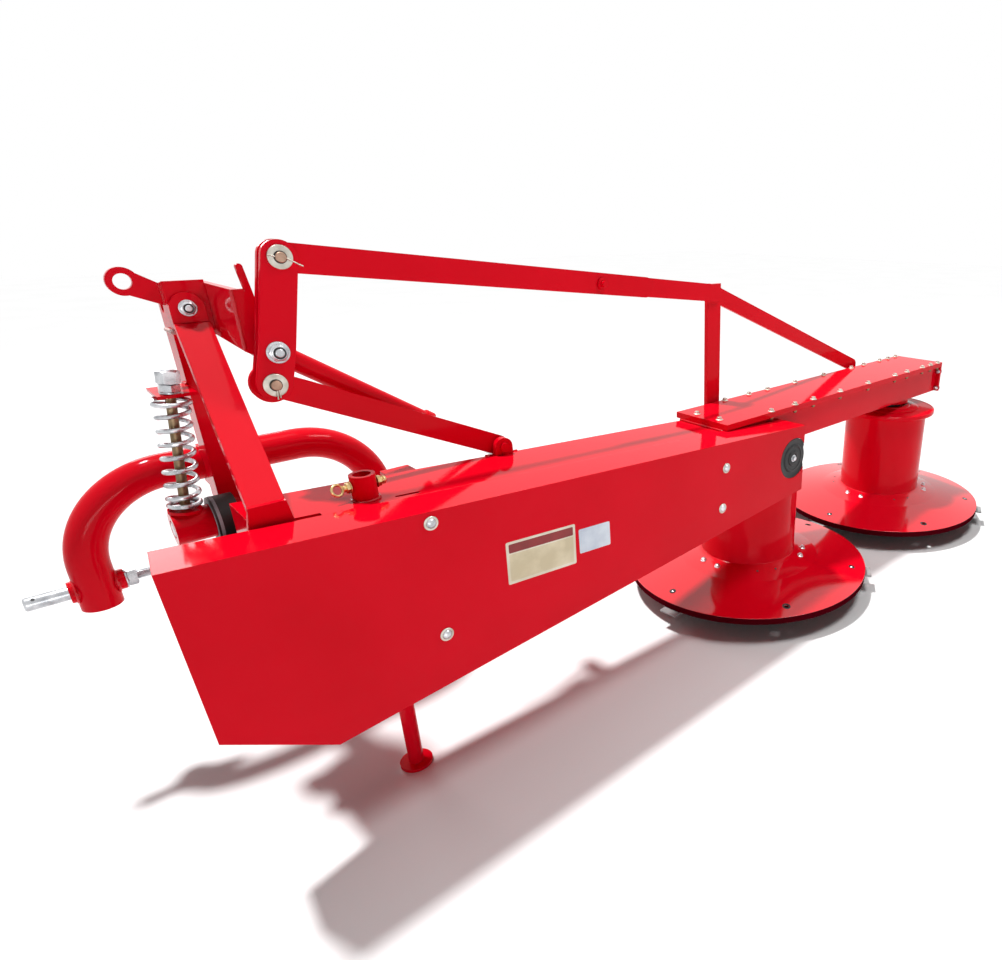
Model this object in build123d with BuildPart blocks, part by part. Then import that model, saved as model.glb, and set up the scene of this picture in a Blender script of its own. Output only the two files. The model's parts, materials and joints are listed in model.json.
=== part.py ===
"""Two-drum rear mower for a three-point hitch, as separate pieces in millimetres.

X runs along the machine from the hitch to the outer drum, +Y is the way it travels, +Z is up.
The origin is on the ground, at the centre of the inner saucer's sole.
"""
from build123d import *
from math import acos, atan2, cos, degrees, hypot, sin, sqrt
import os

os.makedirs("parts", exist_ok=True)

# ---- fits -----------------------------------------------------------------------------------
run_clear = 0.05            # radial clearance of a running fit
seat_gap = 0.02             # radial gap of a fit that doesn't turn

# ---- drums, skirts, knives and saucers ------------------------------------------------------
drum_pitch = 675.0          # between the two drum axes
drum_radius = 125.0
drum_wall = 4.0
drum_base_z = 107.0
outer_drum_top_z = 355.0
inner_drum_top_z = 314.0    # lower, to leave room for the belt drive above it
inner_lip_radius = 128.0
outer_lip_radius = 146.0
drum_lip_thick = 12.0
skirt_radius = 317.0
skirt_rim_z = 65.0
skirt_lip = 16.0            # rolled edge below the rim
skirt_thick = 4.0
crease_radius = 185.0       # where the hub dish meets the flatter outer skirt
crease_z = 90.0
dish_radius = 137.0         # foot of the hub dish, just outside the drum
dish_z = 103.0
access_holes = 6
access_hole_circle = 281.0
access_hole_radius = 7.0
drum_hub_wall = 10.0
drum_hub_bottom_z = 60.0
cutter_disc_radius = 278.0
cutter_disc_thick = 6.0
cutter_disc_top_z = 58.0
knives = 3
knife_pivot_radius = 262.0
knife_tip_radius = 334.0
knife_heel = 16.0           # knife behind its pivot
knife_width = 48.0
knife_thick = 4.0
knife_under_disc = 5.0      # air between the disc and the knife, filled by the bolt's shoulder
knife_bolt_radius = 7.0
knife_bolt_head = 11.0
knife_bolt_head_thick = 4.0
inner_knife_azimuth = 66.0
outer_knife_azimuth = 57.0
saucer_radius = 235.0
saucer_sole_radius = 120.0
saucer_height = 24.0
saucer_thick = 4.0
saucer_boss_radius = 60.0
saucer_boss_top_z = 32.0
axle_radius = 22.0
axle_end_z = 11.0
axle_floor_gap = 1.0

# ---- gearbox beam over the drums ------------------------------------------------------------
beam_half_width = 69.0
beam_bottom_z = 399.0
beam_left_x = -184.0
beam_past_drum = 176.0
beam_wall = 6.0
beam_flange = 13.0          # flange under the cover, outside the walls
beam_flange_thick = 6.0
cover_thick = 8.0
cover_top_z = 492.0
end_plate_thick = 8.0
end_bolt_y = 60.0
end_bolt_zs = (414.0, 466.0)
end_bolt_radius = 7.5
end_bolt_head = 6.0
axle_flange_radius = 62.0
axle_flange_thick = 14.0
axle_collar_radius = 44.0
axle_collar_gap = 4.0       # between the collar and the drum's top
axle_nut_radius = 34.0
axle_nut_thick = 16.0
axle_top_stub = 12.0
cover_bolt_radius = 4.0
cover_bolt_clear = 0.2
cover_bolt_head_radius = 6.5
cover_bolt_head_thick = 5.0
cover_bolt_grip = 6.0       # nut and thread end below the flange
cover_bolt_inset = 6.0      # from the cover's edge
cover_end_bolts = ((-162.0, -38.0), (-162.0, 34.0))
cover_bolt_stations = (-18.0, 76.0, 154.0, 277.0, 418.0, 567.0, 639.0, 735.0, 788.0, 836.0)

# ---- carrier beam and belt case -------------------------------------------------------------
carrier_left_x = -1115.0
carrier_top_left_z = 530.6
carrier_top_right_z = 473.3
carrier_bottom_left_z = 312.0
carrier_wall = 6.0
notch_right_x = -1030.0     # rear left corner left free for the hitch's rear cheek
notch_near_y = -49.0
plate_slot_x = -900.0
plate_slot_y = -47.0
plate_slot_length = 39.0
plate_slot_width = 7.0
plate_slot_depth = 30.0
guard_near_y = -150.0
guard_back_y = -71.0
guard_sheet = 2.5
guard_left_x = -1243.0      # upper left corner of the near face
guard_far_left_x = -1234.0  # the same corner of the open back
guard_right_x = 22.0
guard_top_left_z = 542.8
guard_top_right_z = 464.0
guard_corner_x = -1232.5    # lower left corner of the near face
guard_corner_z = 291.0
guard_low_x = -1098.0       # lowest corner, below the big pulley
guard_low_z = 206.0
guard_bottom_right_z = 300.0
guard_seat_gap = 0.3
guard_bolt_places = ((-914.0, 504.0), (-916.0, 312.0), (-260.0, 426.0), (-270.0, 335.0))
guard_bolt_radius = 4.0
guard_bolt_head = 6.0
guard_washer_radius = 11.0
guard_spacer_radius = 6.5
case_back_thick = 5.0
case_drum_gap = 5.5         # from the turning drum to the sheets cut round it
notch_radius = 50.0
notch_x = -18.0
notch_z = 390.0
far_shelf_x = -852.0
far_shelf_length = 50.0
far_shelf_reach = 48.0
far_shelf_drop = 6.0        # below the carrier's top
far_shelf_thick = 8.0

# ---- belt drive -----------------------------------------------------------------------------
hinge_x = -1098.0           # the input shaft, about which the hitch swings
hinge_z = 382.0
output_x = 0.0
output_z = 383.0
big_pulley_radius = 112.0
small_pulley_radius = 44.0
pulley_width = 40.0
pulley_face_y = -135.0
pulley_web = 12.0
pulley_rim = 14.0
pulley_hub_radius = 34.0
belt_count = 3
belt_pitch = 12.0
belt_width = 9.0
belt_depth = 8.0
belt_gap = 0.4              # between a belt and the bottom of its groove
groove_depth = 6.0
input_shaft_radius = 20.0
stub_radius = 17.45         # 1 3/8 inch stub
stub_rear_y = 108.0
stub_front_y = 192.0
housing_radius = 50.0
spigot_radius = 38.0
spigot_front_y = 104.0
housing_bore = 26.0
bearing_land = 14.0
output_shaft_radius = 10.0
output_boss_radius = 16.0
output_boss_rear_y = -92.0
output_boss_gap = 0.5       # to the axle's flange
shield_radius = 44.0
shield_wall = 3.0
shield_front_y = 184.0
shield_shaft_gap = 3.0
keeper_radius = 46.0
keeper_thick = 5.0

# ---- parking stand --------------------------------------------------------------------------
stand_x = -956.0
stand_y = -27.0
socket_radius = 19.0
socket_above = 40.0
socket_below = 14.0
leg_radius = 13.0
leg_clear = 0.1
leg_top_below_socket = 12.0
foot_radius = 28.0
foot_thick = 6.0
clamp_screw_z = 544.0
clamp_screw_radius = 5.0
clamp_screw_length = 17.0
clamp_head_radius = 8.0
clamp_head_thick = 6.0

# ---- hitch frame ----------------------------------------------------------------------------
hitch_y = 330.0             # plane of the bent tube and of the lower pins
bow_tube_radius = 28.5
bow_wall = 5.0
bow_left_x = -1281.0
bow_right_x = -809.0
bow_top_z = 526.0
bow_bend_radius = 135.0
bow_leg_bottom_z = 321.0
lower_pin_z = 355.5
lower_pin_radius = 11.0
lower_pin_out = 90.0        # pin tip from the tube's axis
pin_collar_radius = 18.0
pin_collar_length = 6.5
pin_nut_radius = 17.0
pin_nut_length = 17.0
pin_washer_radius = 18.0
pin_washer_length = 9.5
pin_thread_radius = 7.5
pin_thread_length = 19.0
pin_tip_chamfer = 3.0
weld_gap = 0.3
post_x = -1070.0
post_width = 52.0
post_depth = 50.0
post_wall = 5.0
post_rear_y = 251.0
post_bottom_z = 474.0
head_x = -1066.0
head_bottom_z = 757.0       # on the post's top
head_top_z = 832.0
head_lip_z = 749.0          # foot of the side plates in front of the post
head_front_top_z = 823.0
head_depth = 70.0
head_web = 6.0
head_side = 4.0
top_link_radius = 9.75      # cross hole for a 19 mm top-link pin
top_link_y = 298.0
top_link_z = 792.0
top_link_gap = 46.0
eye_x = -1136.0
eye_z = 833.0
eye_radius = 20.5
eye_hole_radius = 11.5
eye_thick = 10.0
eye_y = 276.0
eye_root_top_z = 828.0
eye_root_bottom_z = 795.5
eye_neck_top = (-1120.0, 845.0)
eye_neck_bottom = (-1133.0, 813.0)
arm_thick = 10.0
arm_rear_y = 104.0
arm_top_z = 827.0
arm_head_bottom_z = 747.0
arm_end_bottom_z = 739.0
arm_end_thick = 8.0
arm_corner_x = -1023.0      # where the arm's top edge starts down along the finger
arm_shoulder = (-1012.0, 798.0)
finger_size = 9.0
finger_foot = (-1010.0, 776.0)
finger_tip = (-1022.0, 857.0)
strap_width = 47.0
strap_thick = 8.0
strap_foot_x = -1095.0
strap_fold_low_z = 554.0
strap_fold_high_z = 770.0
cheek_thick = 8.0
cheek_rear_y = -63.0
cheek_ring_radius = 54.0
brace_bolt_z = 792.0
brace_bolt_radius = 8.0
brace_bolt_head = 13.0
brace_bolt_head_thick = 9.0
brace_bolt_behind = 10.0
yoke_width = 40.0
yoke_shift = 4.0            # its middle line is this far right of the post's
yoke_height = 38.0
front_lug_rear_y = 84.0
front_lug_thick = 12.0

# ---- bell crank and its two links -----------------------------------------------------------
link_rear_y = 75.0
link_thick = 8.0
crank_plate = 8.0
crank_gap = 0.5
crank_half_width = 24.0
crank_top = (-978.0, 870.0)
crank_mid = (-1007.0, 739.0)
crank_low = (-1020.0, 693.0)
crank_foot_radius = 29.0    # round foot of the front plate
crank_pin_radius = 10.0
crank_washer_radius = 16.5
crank_washer_thick = 4.0
pin_end = 11.0
upper_link_height = 42.0
lower_link_height = 38.0
pivot_tube_radius = 21.0
pivot_tube_rear_y = 96.0
pivot_tube_length = 16.0
cylinder_eye_gap = 1.0
cylinder_eye_width = 34.0
cylinder_eye_radius = 20.0
lug_pin = (-664.0, 518.0)
lug_pin_radius = 9.0
lug_pin_slack = 2.6         # the link's open end swings this much about its pin
lug_radius = 18.0
lug_thick = 12.0
guide_pin_x = -397.0
guide_pin_radius = 6.0
guide_slack = 6.4           # across the slot
guide_travel_back = 38.0
guide_travel_out = 82.0
guide_bar_height = 40.0
guide_bar_thick = 7.0
guide_start_before = 70.0
upper_link_past_pin = 118.0
strut_x = -47.0
strut_width = 46.0
strut_thick = 10.0
strut_bottom_z = 414.0
strut_top_z = 778.0
strut_foot_height = 50.0
strut_joint = (-47.0, 757.0)
brace_width = 38.0
brace_bar_thick = 8.0
brace_end_x = 612.0
brace_end_z = 492.0
brace_tab_bottom_z = 432.0
brace_foot_height = 38.0

# ---- lift cylinder --------------------------------------------------------------------------
cylinder_eye = (-600.0, 456.0)
barrel_radius = 16.0
barrel_bore = 12.5
barrel_length = 262.0
barrel_overlap = 6.0
gland_length = 14.0
gland_step = 3.0
rod_radius = 9.0
piston_length = 30.0
rod_eye_radius = 16.0
rod_pin_radius = 8.0
rod_pin_slack = 0.8
cylinder_lug_radius = 20.0
rod_in_barrel = 62.0

# ---- break-back spring ----------------------------------------------------------------------
spring_y = 200.0
spring_top_x = -1129.0
spring_top_z = 671.0
spring_foot_x = -1151.0
spring_foot_z = 494.5
spring_radius = 20.5        # to the wire's axis
spring_wire = 3.0
spring_turns = 8
spring_seat = 0.3
spring_seat_thick = 5.0
spring_rod_radius = 7.0
bracket_thick = 5.0
bracket_left_x = -1147.0
bracket_half_depth = 15.0
nut_sizes = ((12.7, 12.0), (16.0, 19.0))    # corner radius and height, from the bracket up
nut_lift = 2.0
rod_below = 15.0
rod_above = 1.0
rod_hole_clear = 0.5
cross_tube_radius = 27.0
cross_tube_left_x = -1174.0
cross_tube_z = 465.0
cross_tube_wall = 6.0
buffer_radius = 38.0
buffer_bolt_radius = 8.0
buffer_bolt_head = 13.0
buffer_bolt_head_thick = 9.0
buffer_bolt_recess = 15.0   # radius of the pocket for its head in the tube's end
buffer_length = 35.0

# ---- worked out from the sizes above --------------------------------------------------------
drum_xs = {"inner": 0.0, "outer": drum_pitch}
drum_tops = {"inner": inner_drum_top_z, "outer": outer_drum_top_z}
lip_radii = {"inner": inner_lip_radius, "outer": outer_lip_radius}
beam_right_x = drum_pitch + beam_past_drum
cover_bottom_z = cover_top_z - cover_thick
carrier_length = beam_left_x - carrier_left_x
spigot_bore = spigot_radius + run_clear
leg_bore = leg_radius + leg_clear
knife_top_z = cutter_disc_top_z - cutter_disc_thick - knife_under_disc
post_front_y = post_rear_y + post_depth
post_left_x = post_x - post_width / 2
post_right_x = post_x + post_width / 2
head_left_x = head_x - top_link_gap / 2 - head_side
head_right_x = head_x + top_link_gap / 2 + head_side
head_front_y = post_rear_y + head_depth
yoke_right_x = post_x + yoke_width / 2 + yoke_shift
yoke_left_x = yoke_right_x - yoke_width
yoke_bottom_z = post_bottom_z - yoke_height
link_front_y = link_rear_y + link_thick
crank_rear_y = link_rear_y - crank_gap - crank_plate
crank_front_y = link_front_y + crank_gap + crank_plate
pivot_tube_front_y = pivot_tube_rear_y + pivot_tube_length
cylinder_rear_y = pivot_tube_front_y + cylinder_eye_gap
cylinder_front_y = cylinder_rear_y + cylinder_eye_width
output_boss_front_y = -axle_flange_radius - output_boss_gap
output_shaft_front_y = output_boss_front_y
guide_rear_y = link_front_y + crank_gap
guide_front_y = guide_rear_y + guide_bar_thick
strut_front_y = guide_front_y + strut_thick
link_slope = (strut_joint[1] - crank_top[1]) / (strut_joint[0] - crank_top[0])


def carrier_top(x):
    """Height of the carrier's sloping top plate at x."""
    share = (x - carrier_left_x) / carrier_length
    return carrier_top_left_z + share * (carrier_top_right_z - carrier_top_left_z)


def carrier_bottom(x):
    """Height of the carrier's sloping bottom plate at x."""
    share = (x - carrier_left_x) / carrier_length
    return carrier_bottom_left_z + share * (beam_bottom_z - carrier_bottom_left_z)


def link_height(x):
    """Height of the upper link's middle line at x."""
    return crank_top[1] + (x - crank_top[0]) * link_slope


def side_plane(y, x=0.0):
    """Upright plane across the travel: x is X, y is Z, and an extrusion leaves it towards -Y."""
    return Plane(origin=(x, y, 0), x_dir=(1, 0, 0), z_dir=(0, -1, 0))


def end_plane(x):
    """Upright plane along the travel: x is Y, y is Z, and an extrusion leaves it towards +X."""
    return Plane(origin=(x, 0, 0), x_dir=(0, 1, 0), z_dir=(1, 0, 0))


def disc(centre, radius, mode=Mode.ADD):
    """Round at a point of the sketch plane."""
    with Locations(centre):
        Circle(radius, mode=mode)


def bar_outline(start, end, width, mode=Mode.ADD):
    """Round-ended bar between two points of the sketch plane."""
    run = end[0] - start[0]
    rise = end[1] - start[1]
    with Locations(((start[0] + end[0]) / 2, (start[1] + end[1]) / 2)):
        SlotCenterToCenter(hypot(run, rise), width, rotation=degrees(atan2(rise, run)), mode=mode)


def polygon(*corners, mode=Mode.ADD):
    """Face inside the given corners of the sketch plane."""
    Polygon(*corners, align=None, mode=mode)


def between(low, high):
    """Box between two opposite corners, placed in the active part."""
    size = [high[i] - low[i] for i in range(3)]
    middle = [(high[i] + low[i]) / 2 for i in range(3)]
    return middle, size


def block(low, high, mode=Mode.ADD):
    """Square-cornered block between two opposite corners."""
    middle, size = between(low, high)
    with Locations(tuple(middle)):
        Box(*size, mode=mode)


def belt_loop(inset, mode=Mode.ADD):
    """Outline drawn tight round both pulleys, reduced or, if inset is below 0, grown."""
    big = big_pulley_radius - inset
    small = small_pulley_radius - inset
    run = hypot(output_x - hinge_x, output_z - hinge_z)
    along = atan2(output_z - hinge_z, output_x - hinge_x)
    lean = acos((big - small) / run)
    corners = []
    for x, z, radius, sides in ((hinge_x, hinge_z, big, (1, -1)), (output_x, output_z, small, (-1, 1))):
        for side in sides:
            angle = along + side * lean
            corners.append((x + radius * cos(angle), z + radius * sin(angle)))
    disc((hinge_x, hinge_z), big, mode=mode)
    disc((output_x, output_z), small, mode=mode)
    polygon(*corners, mode=mode)


def save(piece, name):
    """Label a finished piece and write its file."""
    piece.part.label = name
    export_step(piece.part, f"parts/{name}.step")


# ---- drums, cutter discs, knives, saucers and their axles -----------------------------------
def drum_profile(drum_top_z, lip_radius):
    """Half section of one drum with its skirt, top plate and hub, radius against height."""
    lip_top = drum_top_z + drum_lip_thick
    hub_inner = axle_radius + run_clear
    hub_outer = axle_radius + drum_hub_wall
    inside = drum_radius - drum_wall
    polygon(
        (skirt_radius, skirt_rim_z - skirt_lip),
        (skirt_radius, skirt_rim_z),
        (crease_radius, crease_z),
        (dish_radius, dish_z),
        (drum_radius, drum_base_z),
        (drum_radius, drum_top_z),
        (lip_radius, drum_top_z),
        (lip_radius, lip_top),
        (hub_inner, lip_top),
        (hub_inner, drum_hub_bottom_z),
        (hub_outer, drum_hub_bottom_z),
        (hub_outer, drum_top_z - drum_wall),
        (inside, drum_top_z - drum_wall),
        (inside, drum_base_z - skirt_thick),
        (dish_radius - skirt_thick, dish_z - skirt_thick),
        (crease_radius, crease_z - skirt_thick),
        (skirt_radius - skirt_thick, skirt_rim_z - skirt_thick),
        (skirt_radius - skirt_thick, skirt_rim_z - skirt_lip),
    )


knife_azimuths = {"inner": inner_knife_azimuth, "outer": outer_knife_azimuth}
for place, x in drum_xs.items():
    upright = Axis((x, 0, 0), (0, 0, 1))
    with BuildPart() as drum:
        with BuildSketch(side_plane(0, x)):
            drum_profile(drum_tops[place], lip_radii[place])
        revolve(axis=upright)
        with BuildSketch(Plane(origin=(x, 0, skirt_rim_z))):
            with PolarLocations(access_hole_circle, access_holes):
                Circle(access_hole_radius)
        extrude(amount=crease_z, both=True, mode=Mode.SUBTRACT)
    save(drum, f"{place}_drum")

    with BuildPart() as cutter_disc:
        with BuildSketch(Plane(origin=(x, 0, cutter_disc_top_z))):
            Circle(cutter_disc_radius)
            Circle(axle_radius + run_clear, mode=Mode.SUBTRACT)
            with PolarLocations(knife_pivot_radius, knives, start_angle=knife_azimuths[place]):
                Circle(knife_bolt_radius + seat_gap, mode=Mode.SUBTRACT)
        extrude(amount=-cutter_disc_thick)
        with BuildSketch(Plane(origin=(x, 0, cutter_disc_top_z))):
            Circle(axle_radius + drum_hub_wall)
            Circle(axle_radius + run_clear, mode=Mode.SUBTRACT)
        extrude(amount=drum_hub_bottom_z - cutter_disc_top_z)
    save(cutter_disc, f"{place}_cutter_disc")

    with BuildPart() as knife_set:
        with BuildSketch(Plane(origin=(x, 0, knife_top_z))):
            with PolarLocations(0, knives, start_angle=knife_azimuths[place]):
                heel = knife_pivot_radius - knife_heel
                with Locations(((heel + knife_tip_radius) / 2, 0)):
                    Rectangle(knife_tip_radius - heel, knife_width)
                with Locations((knife_pivot_radius, 0)):
                    Circle(knife_bolt_radius + seat_gap, mode=Mode.SUBTRACT)
        extrude(amount=-knife_thick)
    save(knife_set, f"{place}_knives")

    with BuildPart() as knife_bolts:
        shank_bottom = knife_top_z - knife_thick
        with BuildSketch(Plane(origin=(x, 0, shank_bottom))):
            with PolarLocations(knife_pivot_radius, knives, start_angle=knife_azimuths[place]):
                Circle(knife_bolt_radius)
        extrude(amount=cutter_disc_top_z - shank_bottom)
        with BuildSketch(Plane(origin=(x, 0, shank_bottom))):
            with PolarLocations(knife_pivot_radius, knives, start_angle=knife_azimuths[place]):
                Circle(knife_bolt_head)
        extrude(amount=-knife_bolt_head_thick)
        with BuildSketch(Plane(origin=(x, 0, knife_top_z))):
            with PolarLocations(knife_pivot_radius, knives, start_angle=knife_azimuths[place]):
                Circle(knife_bolt_head)
        extrude(amount=knife_under_disc)
    save(knife_bolts, f"{place}_knife_bolts")

    with BuildPart() as saucer:
        with BuildSketch(side_plane(0, x)):
            polygon(
                (0, 0),
                (saucer_sole_radius, 0),
                (saucer_radius, saucer_height - saucer_thick),
                (saucer_radius, saucer_height),
                (saucer_sole_radius, saucer_thick),
                (saucer_boss_radius, saucer_thick),
                (saucer_boss_radius, saucer_boss_top_z),
                (axle_radius + run_clear, saucer_boss_top_z),
                (axle_radius + run_clear, axle_end_z - axle_floor_gap),
                (0, axle_end_z - axle_floor_gap),
            )
        revolve(axis=upright)
    save(saucer, f"{place}_saucer")

    with BuildPart() as axle:
        flange_bottom = beam_bottom_z - axle_flange_thick
        collar_bottom = drum_tops[place] + drum_lip_thick + axle_collar_gap
        beam_floor = beam_bottom_z + beam_wall
        with BuildSketch(side_plane(0, x)):
            polygon(
                (0, axle_end_z),
                (axle_radius, axle_end_z),
                (axle_radius, collar_bottom),
                (axle_collar_radius, collar_bottom),
                (axle_collar_radius, flange_bottom),
                (axle_flange_radius, flange_bottom),
                (axle_flange_radius, beam_bottom_z),
                (axle_radius, beam_bottom_z),
                (axle_radius, beam_floor),
                (axle_nut_radius, beam_floor),
                (axle_nut_radius, beam_floor + axle_nut_thick),
                (axle_radius, beam_floor + axle_nut_thick),
                (axle_radius, beam_floor + axle_nut_thick + axle_top_stub),
                (0, beam_floor + axle_nut_thick + axle_top_stub),
            )
        revolve(axis=upright)
    save(axle, f"{place}_axle")

# ---- gearbox beam, its cover and end plate --------------------------------------------------
flange_half = beam_half_width + beam_flange
bolt_y = flange_half - cover_bolt_inset
bolt_places = [(x, side * bolt_y) for x in cover_bolt_stations for side in (-1, 1)]
bolt_places.extend(cover_end_bolts)

with BuildPart() as gearbox_beam:
    block(
        (beam_left_x, -beam_half_width, beam_bottom_z),
        (beam_right_x, beam_half_width, cover_bottom_z),
    )
    block(
        (beam_left_x, -flange_half, cover_bottom_z - beam_flange_thick),
        (beam_right_x, flange_half, cover_bottom_z),
    )
    block(
        (beam_left_x + beam_wall, -beam_half_width + beam_wall, beam_bottom_z + beam_wall),
        (beam_right_x - beam_wall, beam_half_width - beam_wall, cover_bottom_z),
        mode=Mode.SUBTRACT,
    )
    with BuildSketch(Plane.XY.offset(beam_bottom_z)):
        for x in drum_xs.values():
            disc((x, 0), axle_radius + seat_gap)
    extrude(amount=beam_wall, mode=Mode.SUBTRACT)
    with BuildSketch(Plane.XY.offset(cover_bottom_z)):
        for place in bolt_places:
            disc(place, cover_bolt_radius + cover_bolt_clear)
    extrude(amount=-beam_flange_thick, mode=Mode.SUBTRACT)
    with BuildSketch(side_plane(output_boss_front_y)):
        with Locations((output_x, (output_z + beam_bottom_z) / 2)):
            Rectangle(2 * output_boss_radius, beam_bottom_z - output_z)
    extrude(amount=output_boss_front_y + beam_half_width)
    with BuildSketch(side_plane(output_boss_front_y)):
        disc((output_x, output_z), output_boss_radius)
    extrude(amount=output_boss_front_y - output_boss_rear_y)
    with BuildSketch(side_plane(output_boss_front_y)):
        disc((output_x, output_z), output_shaft_radius + run_clear)
    extrude(amount=output_boss_front_y - output_boss_rear_y, mode=Mode.SUBTRACT)
save(gearbox_beam, "gearbox_beam")

with BuildPart() as gearbox_cover:
    block((beam_left_x, -flange_half, cover_bottom_z), (beam_right_x, flange_half, cover_top_z))
    with BuildSketch(Plane.XY.offset(cover_top_z)):
        for place in bolt_places:
            disc(place, cover_bolt_radius + cover_bolt_clear)
    extrude(amount=-cover_thick, mode=Mode.SUBTRACT)
save(gearbox_cover, "gearbox_cover")

with BuildPart() as cover_bolts:
    with BuildSketch(Plane.XY.offset(cover_top_z)):
        for place in bolt_places:
            disc(place, cover_bolt_radius)
    extrude(amount=-(cover_thick + beam_flange_thick + cover_bolt_grip))
    for bottom in (cover_top_z, cover_bottom_z - beam_flange_thick - cover_bolt_head_thick):
        with BuildSketch(Plane.XY.offset(bottom)):
            for place in bolt_places:
                with Locations(place):
                    RegularPolygon(cover_bolt_head_radius, 6)
        extrude(amount=cover_bolt_head_thick)
save(cover_bolts, "cover_bolts")

with BuildPart() as beam_end_plate:
    block(
        (beam_right_x, -flange_half, beam_bottom_z),
        (beam_right_x + end_plate_thick, flange_half, cover_top_z),
    )
    with BuildSketch(end_plane(beam_right_x + end_plate_thick)):
        for y in (-end_bolt_y, end_bolt_y):
            for z in end_bolt_zs:
                disc((y, z), end_bolt_radius)
    extrude(amount=end_bolt_head)
save(beam_end_plate, "beam_end_plate")

# ---- carrier beam between hitch and drums ---------------------------------------------------
with BuildPart() as carrier_beam:
    with BuildSketch(side_plane(beam_half_width)):
        polygon(
            (carrier_left_x, carrier_top_left_z),
            (beam_left_x, carrier_top_right_z),
            (beam_left_x, beam_bottom_z),
            (carrier_left_x, carrier_bottom_left_z),
        )
    extrude(amount=2 * beam_half_width)
    block(
        (carrier_left_x, -beam_half_width, carrier_bottom_left_z),
        (notch_right_x, notch_near_y, carrier_top_left_z),
        mode=Mode.SUBTRACT,
    )
    cavity_left = carrier_left_x + carrier_wall
    cavity_right = beam_left_x - carrier_wall
    cavity_step = notch_right_x + carrier_wall
    for left, near in (
        (cavity_left, notch_near_y + carrier_wall),
        (cavity_step, carrier_wall - beam_half_width),
    ):
        with BuildSketch(side_plane(beam_half_width - carrier_wall)):
            polygon(
                (left, carrier_top(left) - carrier_wall),
                (cavity_right, carrier_top(cavity_right) - carrier_wall),
                (cavity_right, carrier_bottom(cavity_right) + carrier_wall),
                (left, carrier_bottom(left) + carrier_wall),
            )
        extrude(amount=beam_half_width - carrier_wall - near, mode=Mode.SUBTRACT)
    with BuildSketch(side_plane(beam_half_width)):
        disc((hinge_x, hinge_z), spigot_radius + seat_gap)
    extrude(amount=beam_half_width - notch_near_y, mode=Mode.SUBTRACT)
    with BuildSketch(Plane.XY.offset(carrier_bottom_left_z)):
        disc((stand_x, stand_y), socket_radius + seat_gap)
    extrude(amount=carrier_top_left_z - carrier_bottom_left_z, mode=Mode.SUBTRACT)
    with BuildSketch(Plane.XY.offset(carrier_top_left_z)):
        with Locations((plate_slot_x, plate_slot_y)):
            SlotOverall(plate_slot_length, plate_slot_width)
    extrude(amount=-plate_slot_depth, mode=Mode.SUBTRACT)
    shelf_top = carrier_top(far_shelf_x) - far_shelf_drop
    block(
        (far_shelf_x - far_shelf_length / 2, beam_half_width, shelf_top - far_shelf_thick),
        (far_shelf_x + far_shelf_length / 2, beam_half_width + far_shelf_reach, shelf_top),
    )
save(carrier_beam, "carrier_beam")


# ---- belt case ------------------------------------------------------------------------------
def guard_outline(right_x=guard_right_x):
    """Outer edge of the belt guard, on a plane across the travel, with its right end at right_x."""
    past = right_x - guard_right_x
    top_slope = (guard_top_right_z - guard_top_left_z) / (guard_right_x - guard_left_x)
    bottom_slope = (guard_bottom_right_z - guard_low_z) / (guard_right_x - guard_low_x)
    polygon(
        (guard_left_x, guard_top_left_z),
        (right_x, guard_top_right_z + past * top_slope),
        (right_x, guard_bottom_right_z + past * bottom_slope),
        (guard_low_x, guard_low_z),
        (guard_corner_x, guard_corner_z),
    )


guard_side = Plane(
    origin=(guard_left_x, guard_near_y, guard_top_left_z),
    z_dir=Vector(guard_far_left_x - guard_left_x, guard_back_y - guard_near_y, 0).cross(
        Vector(guard_corner_x - guard_left_x, 0, guard_corner_z - guard_top_left_z)
    ),
)
drum_clearance = Plane(
    origin=(0, 0, inner_drum_top_z + drum_lip_thick + case_drum_gap),
    z_dir=(0, 0, -1),
)
with BuildPart() as guard_room:
    with BuildSketch(side_plane(guard_back_y)):
        guard_outline(guard_right_x + 2 * guard_sheet)
        offset(amount=-guard_sheet, kind=Kind.INTERSECTION, mode=Mode.REPLACE)
    extrude(amount=guard_back_y - guard_near_y - guard_sheet)
    split(bisect_by=guard_side.offset(-guard_sheet), keep=Keep.BOTTOM)

with BuildPart() as belt_guard:
    with BuildSketch(side_plane(guard_back_y)):
        guard_outline()
    extrude(amount=guard_back_y - guard_near_y)
    split(bisect_by=guard_side, keep=Keep.BOTTOM)
    add(guard_room.part, mode=Mode.SUBTRACT)
    with BuildSketch(side_plane(guard_back_y)):
        disc((notch_x, notch_z), notch_radius)
    extrude(amount=guard_back_y - guard_near_y, mode=Mode.SUBTRACT)
    with BuildSketch(drum_clearance):
        Circle(inner_lip_radius + case_drum_gap)
    extrude(amount=guard_bottom_right_z, mode=Mode.SUBTRACT)
    with BuildSketch(side_plane(guard_back_y)):
        for place in guard_bolt_places:
            disc(place, guard_bolt_radius + seat_gap)
    extrude(amount=guard_back_y - guard_near_y, mode=Mode.SUBTRACT)
save(belt_guard, "belt_guard")

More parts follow.
